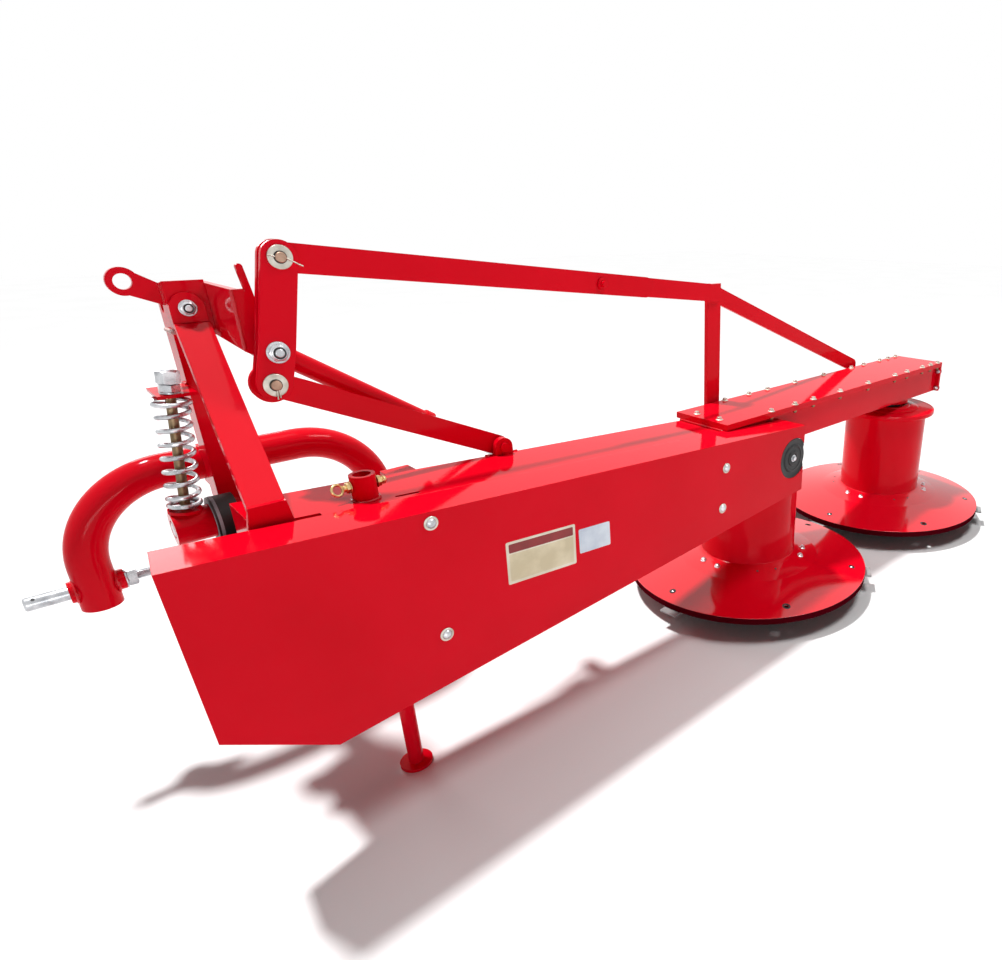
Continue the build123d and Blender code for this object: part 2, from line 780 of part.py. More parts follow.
with BuildPart() as belt_case_back:
    with BuildSketch(side_plane(-beam_half_width)):
        guard_outline()
        offset(amount=-guard_sheet - guard_seat_gap, kind=Kind.INTERSECTION, mode=Mode.REPLACE)
        disc((hinge_x, hinge_z), spigot_radius + seat_gap, mode=Mode.SUBTRACT)
        disc((output_x, output_z), output_boss_radius + seat_gap, mode=Mode.SUBTRACT)
        for place in guard_bolt_places:
            disc(place, guard_bolt_radius + seat_gap, mode=Mode.SUBTRACT)
    extrude(amount=case_back_thick)
    split(bisect_by=guard_side.offset(-guard_sheet - guard_seat_gap), keep=Keep.BOTTOM)
    with BuildSketch(drum_clearance):
        Circle(inner_lip_radius + case_drum_gap)
    extrude(amount=guard_bottom_right_z, mode=Mode.SUBTRACT)
save(belt_case_back, "belt_case_back")

with BuildPart() as guard_bolts:
    case_back_y = -beam_half_width - case_back_thick
    with BuildSketch(side_plane(-beam_half_width)):
        for place in guard_bolt_places:
            disc(place, guard_bolt_radius)
    extrude(amount=-beam_half_width - guard_near_y)
    with BuildSketch(side_plane(case_back_y)):
        for place in guard_bolt_places:
            disc(place, guard_spacer_radius)
    extrude(amount=case_back_y - guard_near_y - guard_sheet)
    with BuildSketch(side_plane(guard_near_y)):
        for place in guard_bolt_places:
            disc(place, guard_washer_radius)
    extrude(amount=guard_bolt_head)
save(guard_bolts, "guard_bolts")

# ---- belt drive -----------------------------------------------------------------------------
pulley_back_y = pulley_face_y + pulley_width
pulley_mid_y = pulley_face_y + pulley_width / 2
belt_ys = [pulley_mid_y + (i - (belt_count - 1) / 2) * belt_pitch for i in range(belt_count)]


def pulley_body(centre, outer, bore):
    """Grooved pulley turned about an axis along Y, added to the active part."""
    with BuildSketch(side_plane(pulley_back_y)) as blank:
        disc(centre, outer)
        disc(centre, bore, mode=Mode.SUBTRACT)
    extrude(blank.sketch, amount=pulley_width)
    for y in belt_ys:
        with BuildSketch(side_plane(y + belt_width / 2 + belt_gap)) as groove:
            disc(centre, outer + groove_depth)
            disc(centre, outer - groove_depth, mode=Mode.SUBTRACT)
        extrude(groove.sketch, amount=belt_width + 2 * belt_gap, mode=Mode.SUBTRACT)


with BuildPart() as drive_pulley:
    pulley_body((hinge_x, hinge_z), big_pulley_radius, input_shaft_radius + seat_gap)
    with BuildSketch(side_plane(pulley_back_y)):
        disc((hinge_x, hinge_z), big_pulley_radius - pulley_rim)
        disc((hinge_x, hinge_z), pulley_hub_radius, mode=Mode.SUBTRACT)
    extrude(amount=(pulley_width - pulley_web) / 2, mode=Mode.SUBTRACT)
    with BuildSketch(side_plane(pulley_face_y + (pulley_width - pulley_web) / 2)):
        disc((hinge_x, hinge_z), big_pulley_radius - pulley_rim)
        disc((hinge_x, hinge_z), pulley_hub_radius, mode=Mode.SUBTRACT)
    extrude(amount=(pulley_width - pulley_web) / 2, mode=Mode.SUBTRACT)
save(drive_pulley, "drive_pulley")

with BuildPart() as driven_pulley:
    pulley_body((output_x, output_z), small_pulley_radius, output_shaft_radius)
    with BuildSketch(side_plane(output_shaft_front_y)):
        disc((output_x, output_z), output_shaft_radius)
    extrude(amount=output_shaft_front_y - pulley_face_y)
save(driven_pulley, "driven_pulley")

with BuildPart() as drive_belts:
    for y in belt_ys:
        with BuildSketch(side_plane(y + belt_width / 2)):
            belt_loop(groove_depth - belt_gap - belt_depth)
            belt_loop(groove_depth - belt_gap, mode=Mode.SUBTRACT)
        extrude(amount=belt_width)
save(drive_belts, "drive_belts")

with BuildPart() as input_shaft:
    with BuildSketch(side_plane(stub_rear_y)):
        disc((hinge_x, hinge_z), input_shaft_radius)
    extrude(amount=stub_rear_y - pulley_face_y)
    with BuildSketch(side_plane(stub_front_y)):
        disc((hinge_x, hinge_z), stub_radius)
    extrude(amount=stub_front_y - stub_rear_y)
save(input_shaft, "input_shaft")

with BuildPart() as input_housing:
    with BuildSketch(side_plane(spigot_front_y)):
        disc((hinge_x, hinge_z), spigot_radius)
    extrude(amount=spigot_front_y + beam_half_width + case_back_thick)
    with BuildSketch(side_plane(beam_half_width - carrier_wall)):
        disc((hinge_x, hinge_z), housing_radius)
        with Locations((cavity_left, hinge_z)):
            Rectangle(
                2 * housing_radius,
                3 * housing_radius,
                align=(Align.MAX, Align.CENTER),
                mode=Mode.SUBTRACT,
            )
    extrude(amount=beam_half_width - carrier_wall - notch_near_y - carrier_wall)
    with BuildSketch(side_plane(spigot_front_y)):
        disc((hinge_x, hinge_z), input_shaft_radius + run_clear)
    extrude(amount=spigot_front_y + beam_half_width + case_back_thick, mode=Mode.SUBTRACT)
    with BuildSketch(side_plane(spigot_front_y - bearing_land)):
        disc((hinge_x, hinge_z), housing_bore)
    extrude(
        amount=spigot_front_y + beam_half_width + case_back_thick - 2 * bearing_land,
        mode=Mode.SUBTRACT,
    )
save(input_housing, "input_housing")

with BuildPart() as hinge_keeper:
    with BuildSketch(side_plane(spigot_front_y)):
        disc((hinge_x, hinge_z), keeper_radius)
        disc((hinge_x, hinge_z), spigot_radius + seat_gap, mode=Mode.SUBTRACT)
    extrude(amount=keeper_thick)
save(hinge_keeper, "hinge_keeper")

with BuildPart() as pto_shield:
    with BuildSketch(side_plane(shield_front_y)):
        disc((hinge_x, hinge_z), shield_radius)
        disc((hinge_x, hinge_z), shield_radius - shield_wall, mode=Mode.SUBTRACT)
    extrude(amount=shield_front_y - spigot_front_y)
    with BuildSketch(side_plane(spigot_front_y + shield_wall)):
        disc((hinge_x, hinge_z), shield_radius)
        disc((hinge_x, hinge_z), input_shaft_radius + shield_shaft_gap, mode=Mode.SUBTRACT)
    extrude(amount=shield_wall)
save(pto_shield, "pto_shield")

# ---- parking stand --------------------------------------------------------------------------
socket_top_z = carrier_top(stand_x) + socket_above
socket_bottom_z = carrier_bottom(stand_x) - socket_below
with BuildPart() as leg_socket:
    with BuildSketch(Plane.XY.offset(socket_bottom_z)):
        disc((stand_x, stand_y), socket_radius)
        disc((stand_x, stand_y), leg_bore, mode=Mode.SUBTRACT)
    extrude(amount=socket_top_z - socket_bottom_z)
    with BuildSketch(end_plane(stand_x - socket_radius)):
        disc((stand_y, clamp_screw_z), clamp_screw_radius + seat_gap)
    extrude(amount=2 * socket_radius, mode=Mode.SUBTRACT)
save(leg_socket, "leg_socket")

with BuildPart() as clamp_screws:
    for side in (-1, 1):
        tip = stand_x + side * leg_bore
        head = tip + side * clamp_screw_length
        with BuildSketch(end_plane(min(tip, head))):
            disc((stand_y, clamp_screw_z), clamp_screw_radius)
        extrude(amount=clamp_screw_length)
        with BuildSketch(end_plane(min(head, head + side * clamp_head_thick))):
            with Locations((stand_y, clamp_screw_z)):
                RegularPolygon(clamp_head_radius, 6)
        extrude(amount=clamp_head_thick)
save(clamp_screws, "clamp_screws")

with BuildPart() as parking_leg:
    with BuildSketch(Plane.XY):
        disc((stand_x, stand_y), foot_radius)
    extrude(amount=foot_thick)
    with BuildSketch(Plane.XY.offset(foot_thick)):
        disc((stand_x, stand_y), leg_radius)
    extrude(amount=socket_top_z - leg_top_below_socket - foot_thick)
save(parking_leg, "parking_leg")

# ---- hitch: bent tube and lower pins --------------------------------------------------------
with BuildPart() as hitch_bow:
    with BuildLine() as bow_path:
        FilletPolyline(
            (bow_left_x, hitch_y, bow_leg_bottom_z),
            (bow_left_x, hitch_y, bow_top_z),
            (bow_right_x, hitch_y, bow_top_z),
            (bow_right_x, hitch_y, bow_leg_bottom_z),
            radius=bow_bend_radius,
        )
    with BuildSketch(Plane(origin=(bow_left_x, hitch_y, bow_leg_bottom_z), z_dir=(0, 0, 1))):
        Circle(bow_tube_radius)
        Circle(bow_tube_radius - bow_wall, mode=Mode.SUBTRACT)
    sweep(path=bow_path.line)
    with BuildSketch(end_plane(bow_left_x - bow_tube_radius)):
        disc((hitch_y, lower_pin_z), lower_pin_radius + seat_gap)
    extrude(amount=bow_right_x - bow_left_x + 2 * bow_tube_radius, mode=Mode.SUBTRACT)
save(hitch_bow, "hitch_bow")

lower_pin_reach = lower_pin_out + bow_tube_radius + pin_washer_length
for name, leg_x, outward in (("left", bow_left_x, -1), ("right", bow_right_x, 1)):
    with BuildPart() as lower_pin:
        outside = leg_x + outward * bow_tube_radius
        inside = leg_x - outward * bow_tube_radius
        for start, length, radius in (
            (leg_x + outward * lower_pin_out, -lower_pin_reach, lower_pin_radius),
            (outside + outward * seat_gap, pin_collar_length, pin_collar_radius),
            (inside - outward * seat_gap, -pin_washer_length, pin_washer_radius),
            (inside - outward * pin_washer_length, -pin_nut_length, pin_nut_radius),
            (inside - outward * pin_washer_length, -pin_nut_length - pin_thread_length, pin_thread_radius),
        ):
            with BuildSketch(end_plane(start)):
                disc((hitch_y, lower_pin_z), radius)
            extrude(amount=outward * length)
        tip = faces().sort_by(Axis.X)[-1 if outward > 0 else 0]
        chamfer(tip.edges(), pin_tip_chamfer)
    save(lower_pin, f"lower_pin_{name}")

# ---- hitch: post, head, lifting eye and arm -------------------------------------------------
spring_run = spring_top_x - spring_foot_x
spring_rise = spring_top_z - spring_foot_z
spring_length = hypot(spring_run, spring_rise)
spring_foot = Plane(
    origin=(spring_foot_x, spring_y, spring_foot_z),
    x_dir=(0, 1, 0),
    z_dir=(spring_run, 0, spring_rise),
)

with BuildPart() as mast_post:
    block((post_left_x, post_rear_y, post_bottom_z), (post_right_x, post_front_y, head_bottom_z))
    block(
        (post_left_x + post_wall, post_rear_y + post_wall, post_bottom_z),
        (post_right_x - post_wall, post_front_y - post_wall, head_bottom_z),
        mode=Mode.SUBTRACT,
    )
    saddle_bottom = bow_top_z - bow_tube_radius - post_wall
    block(
        (post_left_x, post_front_y, saddle_bottom),
        (post_right_x, hitch_y, bow_top_z + bow_tube_radius + post_wall),
    )
    with BuildSketch(end_plane(post_left_x)):
        disc((hitch_y, bow_top_z), bow_tube_radius + weld_gap)
    extrude(amount=post_width, mode=Mode.SUBTRACT)
    block(
        (bracket_left_x, spring_y - bracket_half_depth, spring_top_z + seat_gap),
        (post_left_x, post_rear_y + bracket_half_depth, spring_top_z + bracket_thick),
    )
    with BuildSketch(spring_foot.offset(spring_length - bracket_thick)):
        Circle(spring_rod_radius + rod_hole_clear)
    extrude(amount=3 * bracket_thick, mode=Mode.SUBTRACT)
save(mast_post, "mast_post")

with BuildPart() as mast_head:
    block((head_left_x, post_rear_y, head_bottom_z), (head_right_x, post_rear_y + head_web, head_top_z))
    block(
        (head_left_x, post_rear_y, head_bottom_z),
        (head_right_x, post_front_y, head_bottom_z + head_web),
    )
    with BuildSketch(end_plane(head_left_x)):
        polygon(
            (post_rear_y, head_top_z - head_web),
            (post_rear_y, head_top_z),
            (head_front_y, head_front_top_z),
            (head_front_y, head_front_top_z - head_web),
        )
    extrude(amount=head_right_x - head_left_x)
    for left in (head_left_x, head_right_x - head_side):
        with BuildSketch(end_plane(left)):
            polygon(
                (post_rear_y, head_bottom_z),
                (post_front_y + seat_gap, head_bottom_z),
                (post_front_y + seat_gap, head_lip_z),
                (head_front_y, head_lip_z),
                (head_front_y, head_front_top_z),
                (post_rear_y, head_top_z),
            )
            disc((top_link_y, top_link_z), top_link_radius, mode=Mode.SUBTRACT)
        extrude(amount=head_side)
    with BuildSketch(side_plane(post_rear_y + head_web)):
        disc((post_x, brace_bolt_z), brace_bolt_radius + seat_gap)
    extrude(amount=head_web, mode=Mode.SUBTRACT)
save(mast_head, "mast_head")

with BuildPart() as lift_eye:
    with BuildSketch(side_plane(eye_y + eye_thick / 2)):
        disc((eye_x, eye_z), eye_radius)
        polygon(
            eye_neck_top,
            (head_left_x, eye_root_top_z),
            (head_left_x, eye_root_bottom_z),
            eye_neck_bottom,
        )
        disc((eye_x, eye_z), eye_hole_radius, mode=Mode.SUBTRACT)
    extrude(amount=eye_thick)
save(lift_eye, "lift_eye")

arm_right_x = head_right_x + arm_thick
with BuildPart() as mast_arm:
    with BuildSketch(end_plane(head_right_x)):
        polygon(
            (post_front_y, arm_head_bottom_z),
            (post_front_y, arm_top_z),
            (arm_rear_y, arm_top_z),
            (arm_rear_y, arm_end_bottom_z),
            (post_rear_y, arm_head_bottom_z),
        )
    extrude(amount=arm_thick)
    with BuildSketch(side_plane(arm_rear_y + arm_end_thick)):
        polygon(
            (head_right_x, arm_top_z),
            (arm_corner_x, arm_top_z),
            arm_shoulder,
            (crank_mid[0] + pivot_tube_radius, crank_mid[1]),
            (crank_mid[0], crank_mid[1] - pivot_tube_radius),
            (head_right_x, arm_end_bottom_z),
        )
        bar_outline(finger_foot, finger_tip, finger_size)
    extrude(amount=arm_end_thick)
    with BuildSketch(side_plane(arm_rear_y + arm_end_thick)):
        disc(crank_mid, pivot_tube_radius)
    extrude(amount=pivot_tube_length)
    with BuildSketch(side_plane(arm_rear_y + arm_end_thick)):
        disc(crank_mid, crank_pin_radius + seat_gap)
    extrude(amount=pivot_tube_length, mode=Mode.SUBTRACT)
save(mast_arm, "mast_arm")

# ---- hitch: slanting brace, its bolt, the rear cheek and the front yoke ---------------------
with BuildPart() as mast_brace:
    strap_rise = strap_fold_high_z - strap_fold_low_z
    strap_foot_y = cheek_rear_y + cheek_thick / 2
    strap_head_y = post_rear_y - strap_thick / 2
    strap_run = strap_head_y - strap_foot_y
    strap_shift = post_x - strap_foot_x
    level_thick = strap_thick * hypot(strap_rise, strap_run) / strap_rise
    with BuildSketch(Plane.XY.offset(strap_fold_low_z)):
        with Locations((strap_foot_x, strap_foot_y + (level_thick - cheek_thick) / 2)):
            Rectangle(strap_width, level_thick)
    extrude(
        amount=sqrt(strap_rise**2 + (strap_run - (level_thick - strap_thick)) ** 2 + strap_shift**2),
        dir=(strap_shift, strap_run - (level_thick - strap_thick), strap_rise),
    )
    with BuildSketch(side_plane(post_rear_y)):
        disc((post_x, brace_bolt_z), strap_width / 2)
        with Locations((post_x, (brace_bolt_z + strap_fold_high_z - strap_thick) / 2)):
            Rectangle(strap_width, brace_bolt_z - strap_fold_high_z + strap_thick)
        disc((post_x, brace_bolt_z), brace_bolt_radius + seat_gap, mode=Mode.SUBTRACT)
    extrude(amount=strap_thick)
    with BuildSketch(side_plane(cheek_rear_y + cheek_thick)):
        polygon(
            (strap_foot_x - strap_width / 2, strap_fold_low_z + strap_thick),
            (strap_foot_x + strap_width / 2, strap_fold_low_z + strap_thick),
            (hinge_x + cheek_ring_radius, hinge_z),
            (hinge_x - cheek_ring_radius, hinge_z),
        )
        disc((hinge_x, hinge_z), cheek_ring_radius)
        disc((hinge_x, hinge_z), spigot_bore, mode=Mode.SUBTRACT)
    extrude(amount=cheek_thick)
save(mast_brace, "mast_brace")

with BuildPart() as brace_bolt:
    bolt_front_y = post_rear_y + head_web + brace_bolt_behind
    with BuildSketch(side_plane(bolt_front_y)):
        disc((post_x, brace_bolt_z), brace_bolt_radius)
    extrude(amount=bolt_front_y - post_rear_y + strap_thick + seat_gap)
    for front in (bolt_front_y - seat_gap, post_rear_y - strap_thick - seat_gap):
        with BuildSketch(side_plane(front)):
            with Locations((post_x, brace_bolt_z)):
                RegularPolygon(brace_bolt_head, 6)
        extrude(amount=brace_bolt_head_thick)
save(brace_bolt, "brace_bolt")

with BuildPart() as hinge_yoke:
    block((yoke_left_x, front_lug_rear_y, yoke_bottom_z), (yoke_right_x, post_front_y, post_bottom_z))
    with BuildSketch(side_plane(front_lug_rear_y + front_lug_thick)):
        disc((hinge_x, hinge_z), cheek_ring_radius)
        polygon(
            (yoke_left_x, post_bottom_z),
            (yoke_right_x, post_bottom_z),
            (hinge_x + cheek_ring_radius, hinge_z),
            (hinge_x - cheek_ring_radius, hinge_z),
        )
        disc((hinge_x, hinge_z), spigot_bore, mode=Mode.SUBTRACT)
    extrude(amount=front_lug_thick)
save(hinge_yoke, "hinge_yoke")

# ---- hitch: break-back spring ---------------------------------------------------------------
with BuildPart() as break_back_spring:
    coil_height = spring_length - 2 * spring_wire - 2 * spring_seat
    coil_start = spring_foot.offset(spring_wire + spring_seat).origin
    with BuildLine() as coil:
        Helix(
            coil_height / spring_turns,
            coil_height,
            spring_radius,
            center=coil_start,
            direction=spring_foot.z_dir,
        )
    with BuildSketch(Plane(origin=coil.line @ 0, z_dir=coil.line % 0)):
        Circle(spring_wire)
    sweep(path=coil.line, is_frenet=True)
save(break_back_spring, "break_back_spring")

with BuildPart() as spring_rod:
    with BuildSketch(spring_foot.offset(-rod_below)):
        Circle(spring_rod_radius)
    nut_foot = spring_length + bracket_thick + nut_lift
    extrude(amount=nut_foot + rod_below + nut_sizes[0][1] + nut_sizes[1][1] + rod_above)
    for corner_radius, height in nut_sizes:
        with BuildSketch(spring_foot.offset(nut_foot)):
            RegularPolygon(corner_radius, 6)
        extrude(amount=height)
        nut_foot += height
save(spring_rod, "spring_rod")

with BuildPart() as cross_tube:
    cross_tube_length = yoke_left_x - buffer_length - cross_tube_left_x
    with BuildSketch(end_plane(cross_tube_left_x)):
        disc((spring_y, cross_tube_z), cross_tube_radius)
        disc((spring_y, cross_tube_z), buffer_bolt_radius + seat_gap, mode=Mode.SUBTRACT)
    extrude(amount=cross_tube_length)
    with BuildSketch(end_plane(cross_tube_left_x)):
        disc((spring_y, cross_tube_z), buffer_bolt_recess)
    extrude(amount=buffer_bolt_head_thick, mode=Mode.SUBTRACT)
    with BuildSketch(spring_foot):
        Circle(spring_radius + spring_wire)
    extrude(amount=-spring_seat_thick)
    with BuildSketch(spring_foot.offset(-rod_below)):
        Circle(spring_rod_radius + rod_hole_clear)
    extrude(amount=rod_below * 2, mode=Mode.SUBTRACT)
save(cross_tube, "cross_tube")

with BuildPart() as rubber_buffer:
    with BuildSketch(end_plane(yoke_left_x - buffer_length)):
        disc((spring_y, cross_tube_z), buffer_radius)
        disc((spring_y, cross_tube_z), buffer_bolt_radius + seat_gap, mode=Mode.SUBTRACT)
    extrude(amount=buffer_length)
save(rubber_buffer, "rubber_buffer")

with BuildPart() as buffer_bolt:
    with BuildSketch(end_plane(cross_tube_left_x)):
        disc((spring_y, cross_tube_z), buffer_bolt_radius)
    extrude(amount=yoke_left_x - cross_tube_left_x)
    with BuildSketch(end_plane(cross_tube_left_x)):
        with Locations((spring_y, cross_tube_z)):
            RegularPolygon(buffer_bolt_head, 6)
    extrude(amount=buffer_bolt_head_thick)
save(buffer_bolt, "buffer_bolt")

# ---- bell crank and its pins ----------------------------------------------------------------
for name, front_y in (("rear", crank_rear_y + crank_plate), ("front", crank_front_y)):
    with BuildPart() as crank_side:
        with BuildSketch(side_plane(front_y)):
            bar_outline(crank_top, crank_mid, 2 * crank_half_width)
            bar_outline(crank_mid, crank_low, 2 * crank_half_width)
            if name == "front":
                disc(crank_low, crank_foot_radius)
            disc(crank_mid, crank_pin_radius + run_clear, mode=Mode.SUBTRACT)
            for place in (crank_top, crank_low):
                disc(place, crank_pin_radius + seat_gap, mode=Mode.SUBTRACT)
        extrude(amount=crank_plate)
    save(crank_side, f"crank_{name}_plate")


def crosspin(places, radius, rear_y, front_y, washer_radius, washer_thick, ends):
    """Pins along Y with a washer or head outside each of the planes in ends."""
    with BuildSketch(side_plane(front_y)) as shank:
        for place in places:
            disc(place, radius)
    extrude(shank.sketch, amount=front_y - rear_y)
    for y in ends:
        with BuildSketch(side_plane(y)) as washer:
            for place in places:
                disc(place, washer_radius)
        extrude(washer.sketch, amount=washer_thick)


with BuildPart() as crank_pins:
    crosspin(
        (crank_top, crank_low),
        crank_pin_radius,
        crank_rear_y - pin_end,
        crank_front_y + crank_washer_thick,
        crank_washer_radius,
        crank_washer_thick,
        (crank_rear_y - seat_gap, crank_front_y + crank_washer_thick + seat_gap),
    )
save(crank_pins, "crank_pins")

with BuildPart() as crank_pivot_pin:
    crosspin(
        (crank_mid,),
        crank_pin_radius,
        crank_rear_y - pin_end,
        cylinder_front_y + pin_end,
        crank_washer_radius,
        crank_washer_thick,
        (crank_rear_y - crank_gap, cylinder_front_y + crank_washer_thick + cylinder_eye_gap),
    )
save(crank_pivot_pin, "crank_pivot_pin")

# ---- lower and upper links, with what holds their far ends ----------------------------------
with BuildPart() as lower_link:
    with BuildSketch(side_plane(link_front_y)):
        bar_outline(crank_low, lug_pin, lower_link_height)
        disc(crank_low, crank_pin_radius + run_clear, mode=Mode.SUBTRACT)
        disc(lug_pin, lug_pin_radius + lug_pin_slack, mode=Mode.SUBTRACT)
    extrude(amount=link_thick)
save(lower_link, "lower_link")

with BuildPart() as lower_link_lug:
    with BuildSketch(side_plane(beam_half_width)):
        disc(lug_pin, lug_radius)
        left = lug_pin[0] - lug_radius
        right = lug_pin[0] + lug_radius
        polygon(
            (left, carrier_top(left)),
            (left, lug_pin[1]),
            (right, lug_pin[1]),
            (right, carrier_top(right)),
        )
        polygon(
            (left - lug_radius, carrier_top(left - lug_radius)),
            (right + lug_radius, carrier_top(right + lug_radius)),
            (right + lug_radius, carrier_bottom_left_z),
            (left - lug_radius, carrier_bottom_left_z),
            mode=Mode.SUBTRACT,
        )
    extrude(amount=lug_thick)
    pin_front_y = link_front_y + crank_washer_thick + 2 * crank_gap
    with BuildSketch(side_plane(pin_front_y)):
        disc(lug_pin, lug_pin_radius)
    extrude(amount=pin_front_y - beam_half_width + lug_thick + pin_end / 2)
    with BuildSketch(side_plane(pin_front_y)):
        disc(lug_pin, crank_washer_radius)
    extrude(amount=crank_washer_thick)
save(lower_link_lug, "lower_link_lug")

guide_pin = (guide_pin_x, link_height(guide_pin_x))
link_end = (guide_pin_x + upper_link_past_pin, link_height(guide_pin_x + upper_link_past_pin))
with BuildPart() as upper_link:
    with BuildSketch(side_plane(link_front_y)):
        bar_outline(crank_top, link_end, upper_link_height)
        disc(crank_top, crank_pin_radius + run_clear, mode=Mode.SUBTRACT)
        disc(guide_pin, guide_pin_radius + seat_gap, mode=Mode.SUBTRACT)
    extrude(amount=link_thick)
save(upper_link, "upper_link")

with BuildPart() as slide_pin:
    crosspin(
        (guide_pin,),
        guide_pin_radius,
        link_rear_y - pin_end,
        guide_front_y - crank_gap,
        2 * guide_pin_radius,
        crank_washer_thick,
        (link_rear_y - seat_gap,),
    )
save(slide_pin, "slide_pin")


def along_link(x):
    """Point of the upper link's middle line at x."""
    return (x, link_height(x))


with BuildPart() as link_guide:
    with BuildSketch(side_plane(guide_front_y)):
        slot_start = along_link(guide_pin_x - guide_travel_back)
        slot_end = along_link(guide_pin_x + guide_travel_out)
        bar_outline(along_link(guide_pin_x - guide_start_before), strut_joint, guide_bar_height)
        bar_outline(slot_start, slot_end, 2 * (guide_pin_radius + guide_slack), mode=Mode.SUBTRACT)
    extrude(amount=guide_bar_thick)
save(link_guide, "link_guide")

with BuildPart() as strut:
    block(
        (strut_x - strut_width / 2, guide_front_y, strut_bottom_z),
        (strut_x + strut_width / 2, strut_front_y, strut_top_z),
    )
    block(
        (strut_x - strut_width / 2, beam_half_width, strut_bottom_z),
        (strut_x + strut_width / 2, guide_front_y, strut_bottom_z + strut_foot_height),
    )
save(strut, "strut")

with BuildPart() as diagonal_brace:
    with BuildSketch(side_plane(strut_front_y + brace_bar_thick)):
        bar_outline((strut_x, strut_top_z - brace_width / 2), (brace_end_x, brace_end_z), brace_width)
        bar_outline(
            (brace_end_x, brace_end_z),
            (brace_end_x, brace_tab_bottom_z + brace_width / 2),
            brace_width,
        )
    extrude(amount=brace_bar_thick)
    block(
        (brace_end_x - brace_width / 2, beam_half_width, brace_tab_bottom_z),
        (brace_end_x + brace_width / 2, strut_front_y, brace_tab_bottom_z + brace_foot_height),
    )
save(diagonal_brace, "diagonal_brace")

# ---- lift cylinder --------------------------------------------------------------------------
cylinder_run = cylinder_eye[0] - crank_mid[0]
cylinder_rise = cylinder_eye[1] - crank_mid[1]
cylinder_length = hypot(cylinder_run, cylinder_rise)
cylinder_mid_y = (cylinder_rear_y + cylinder_front_y) / 2
cylinder_axis = Plane(
    origin=(crank_mid[0], cylinder_mid_y, crank_mid[1]),
    x_dir=(0, 1, 0),
    z_dir=(cylinder_run, 0, cylinder_rise),
)

with BuildPart() as cylinder_barrel:
    with BuildSketch(side_plane(cylinder_front_y)):
        disc(crank_mid, cylinder_eye_radius)
    extrude(amount=cylinder_eye_width)
    with BuildSketch(cylinder_axis.offset(cylinder_eye_radius - barrel_overlap)):
        Circle(barrel_radius)
    extrude(amount=barrel_length)
    with BuildSketch(cylinder_axis.offset(cylinder_eye_radius + barrel_overlap)):
        Circle(barrel_bore)
    extrude(amount=barrel_length, mode=Mode.SUBTRACT)
    with BuildSketch(side_plane(cylinder_front_y)):
        disc(crank_mid, crank_pin_radius + run_clear)
    extrude(amount=cylinder_eye_width, mode=Mode.SUBTRACT)
    gland_start = cylinder_eye_radius - barrel_overlap + barrel_length
    with BuildSketch(cylinder_axis.offset(gland_start)):
        Circle(barrel_radius + gland_step)
        Circle(rod_radius + run_clear, mode=Mode.SUBTRACT)
    extrude(amount=gland_length)
save(cylinder_barrel, "cylinder_barrel")

with BuildPart() as cylinder_rod:
    piston_start = gland_start - rod_in_barrel
    with BuildSketch(cylinder_axis.offset(piston_start)):
        Circle(rod_radius)
    extrude(amount=cylinder_length - rod_eye_radius + barrel_overlap - piston_start)
    with BuildSketch(cylinder_axis.offset(piston_start)):
        Circle(barrel_bore - run_clear)
    extrude(amount=piston_length)
    with BuildSketch(side_plane(cylinder_front_y)):
        disc(cylinder_eye, rod_eye_radius)
    extrude(amount=cylinder_eye_width)
    with BuildSketch(side_plane(cylinder_front_y)):
        disc(cylinder_eye, rod_pin_radius + rod_pin_slack)
    extrude(amount=cylinder_eye_width, mode=Mode.SUBTRACT)
save(cylinder_rod, "cylinder_rod")

with BuildPart() as cylinder_lug:
    with BuildSketch(side_plane(cylinder_rear_y - cylinder_eye_gap)):
        disc(cylinder_eye, cylinder_lug_radius)
    extrude(amount=cylinder_rear_y - cylinder_eye_gap - beam_half_width)
    lug_end_y = cylinder_front_y + cylinder_eye_gap + crank_washer_thick
    with BuildSketch(side_plane(lug_end_y)):
        disc(cylinder_eye, rod_pin_radius)
    extrude(amount=lug_end_y - beam_half_width)
    with BuildSketch(side_plane(lug_end_y)):
        disc(cylinder_eye, rod_eye_radius)
    extrude(amount=crank_washer_thick)
save(cylinder_lug, "cylinder_lug")
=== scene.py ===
"""Looks for the rear drum mower: paint, plated hardware, welds, plates, light and camera."""
import json
import math

import bmesh
import bpy
from mathutils import Matrix, Vector


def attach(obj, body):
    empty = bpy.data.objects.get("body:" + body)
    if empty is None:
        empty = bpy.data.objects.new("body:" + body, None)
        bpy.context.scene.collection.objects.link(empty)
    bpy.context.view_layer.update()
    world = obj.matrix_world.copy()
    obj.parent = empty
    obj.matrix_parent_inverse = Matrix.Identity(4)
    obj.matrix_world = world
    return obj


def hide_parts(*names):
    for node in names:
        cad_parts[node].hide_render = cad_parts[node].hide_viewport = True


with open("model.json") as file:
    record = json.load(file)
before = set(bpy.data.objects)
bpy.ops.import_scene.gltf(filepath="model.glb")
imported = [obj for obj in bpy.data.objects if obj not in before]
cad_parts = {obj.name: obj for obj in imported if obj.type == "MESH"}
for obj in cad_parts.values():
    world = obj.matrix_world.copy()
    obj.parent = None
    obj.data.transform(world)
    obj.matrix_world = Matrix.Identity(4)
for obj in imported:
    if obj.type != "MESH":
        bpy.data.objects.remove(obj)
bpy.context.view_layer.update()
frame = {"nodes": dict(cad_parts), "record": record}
nodes = frame["nodes"]

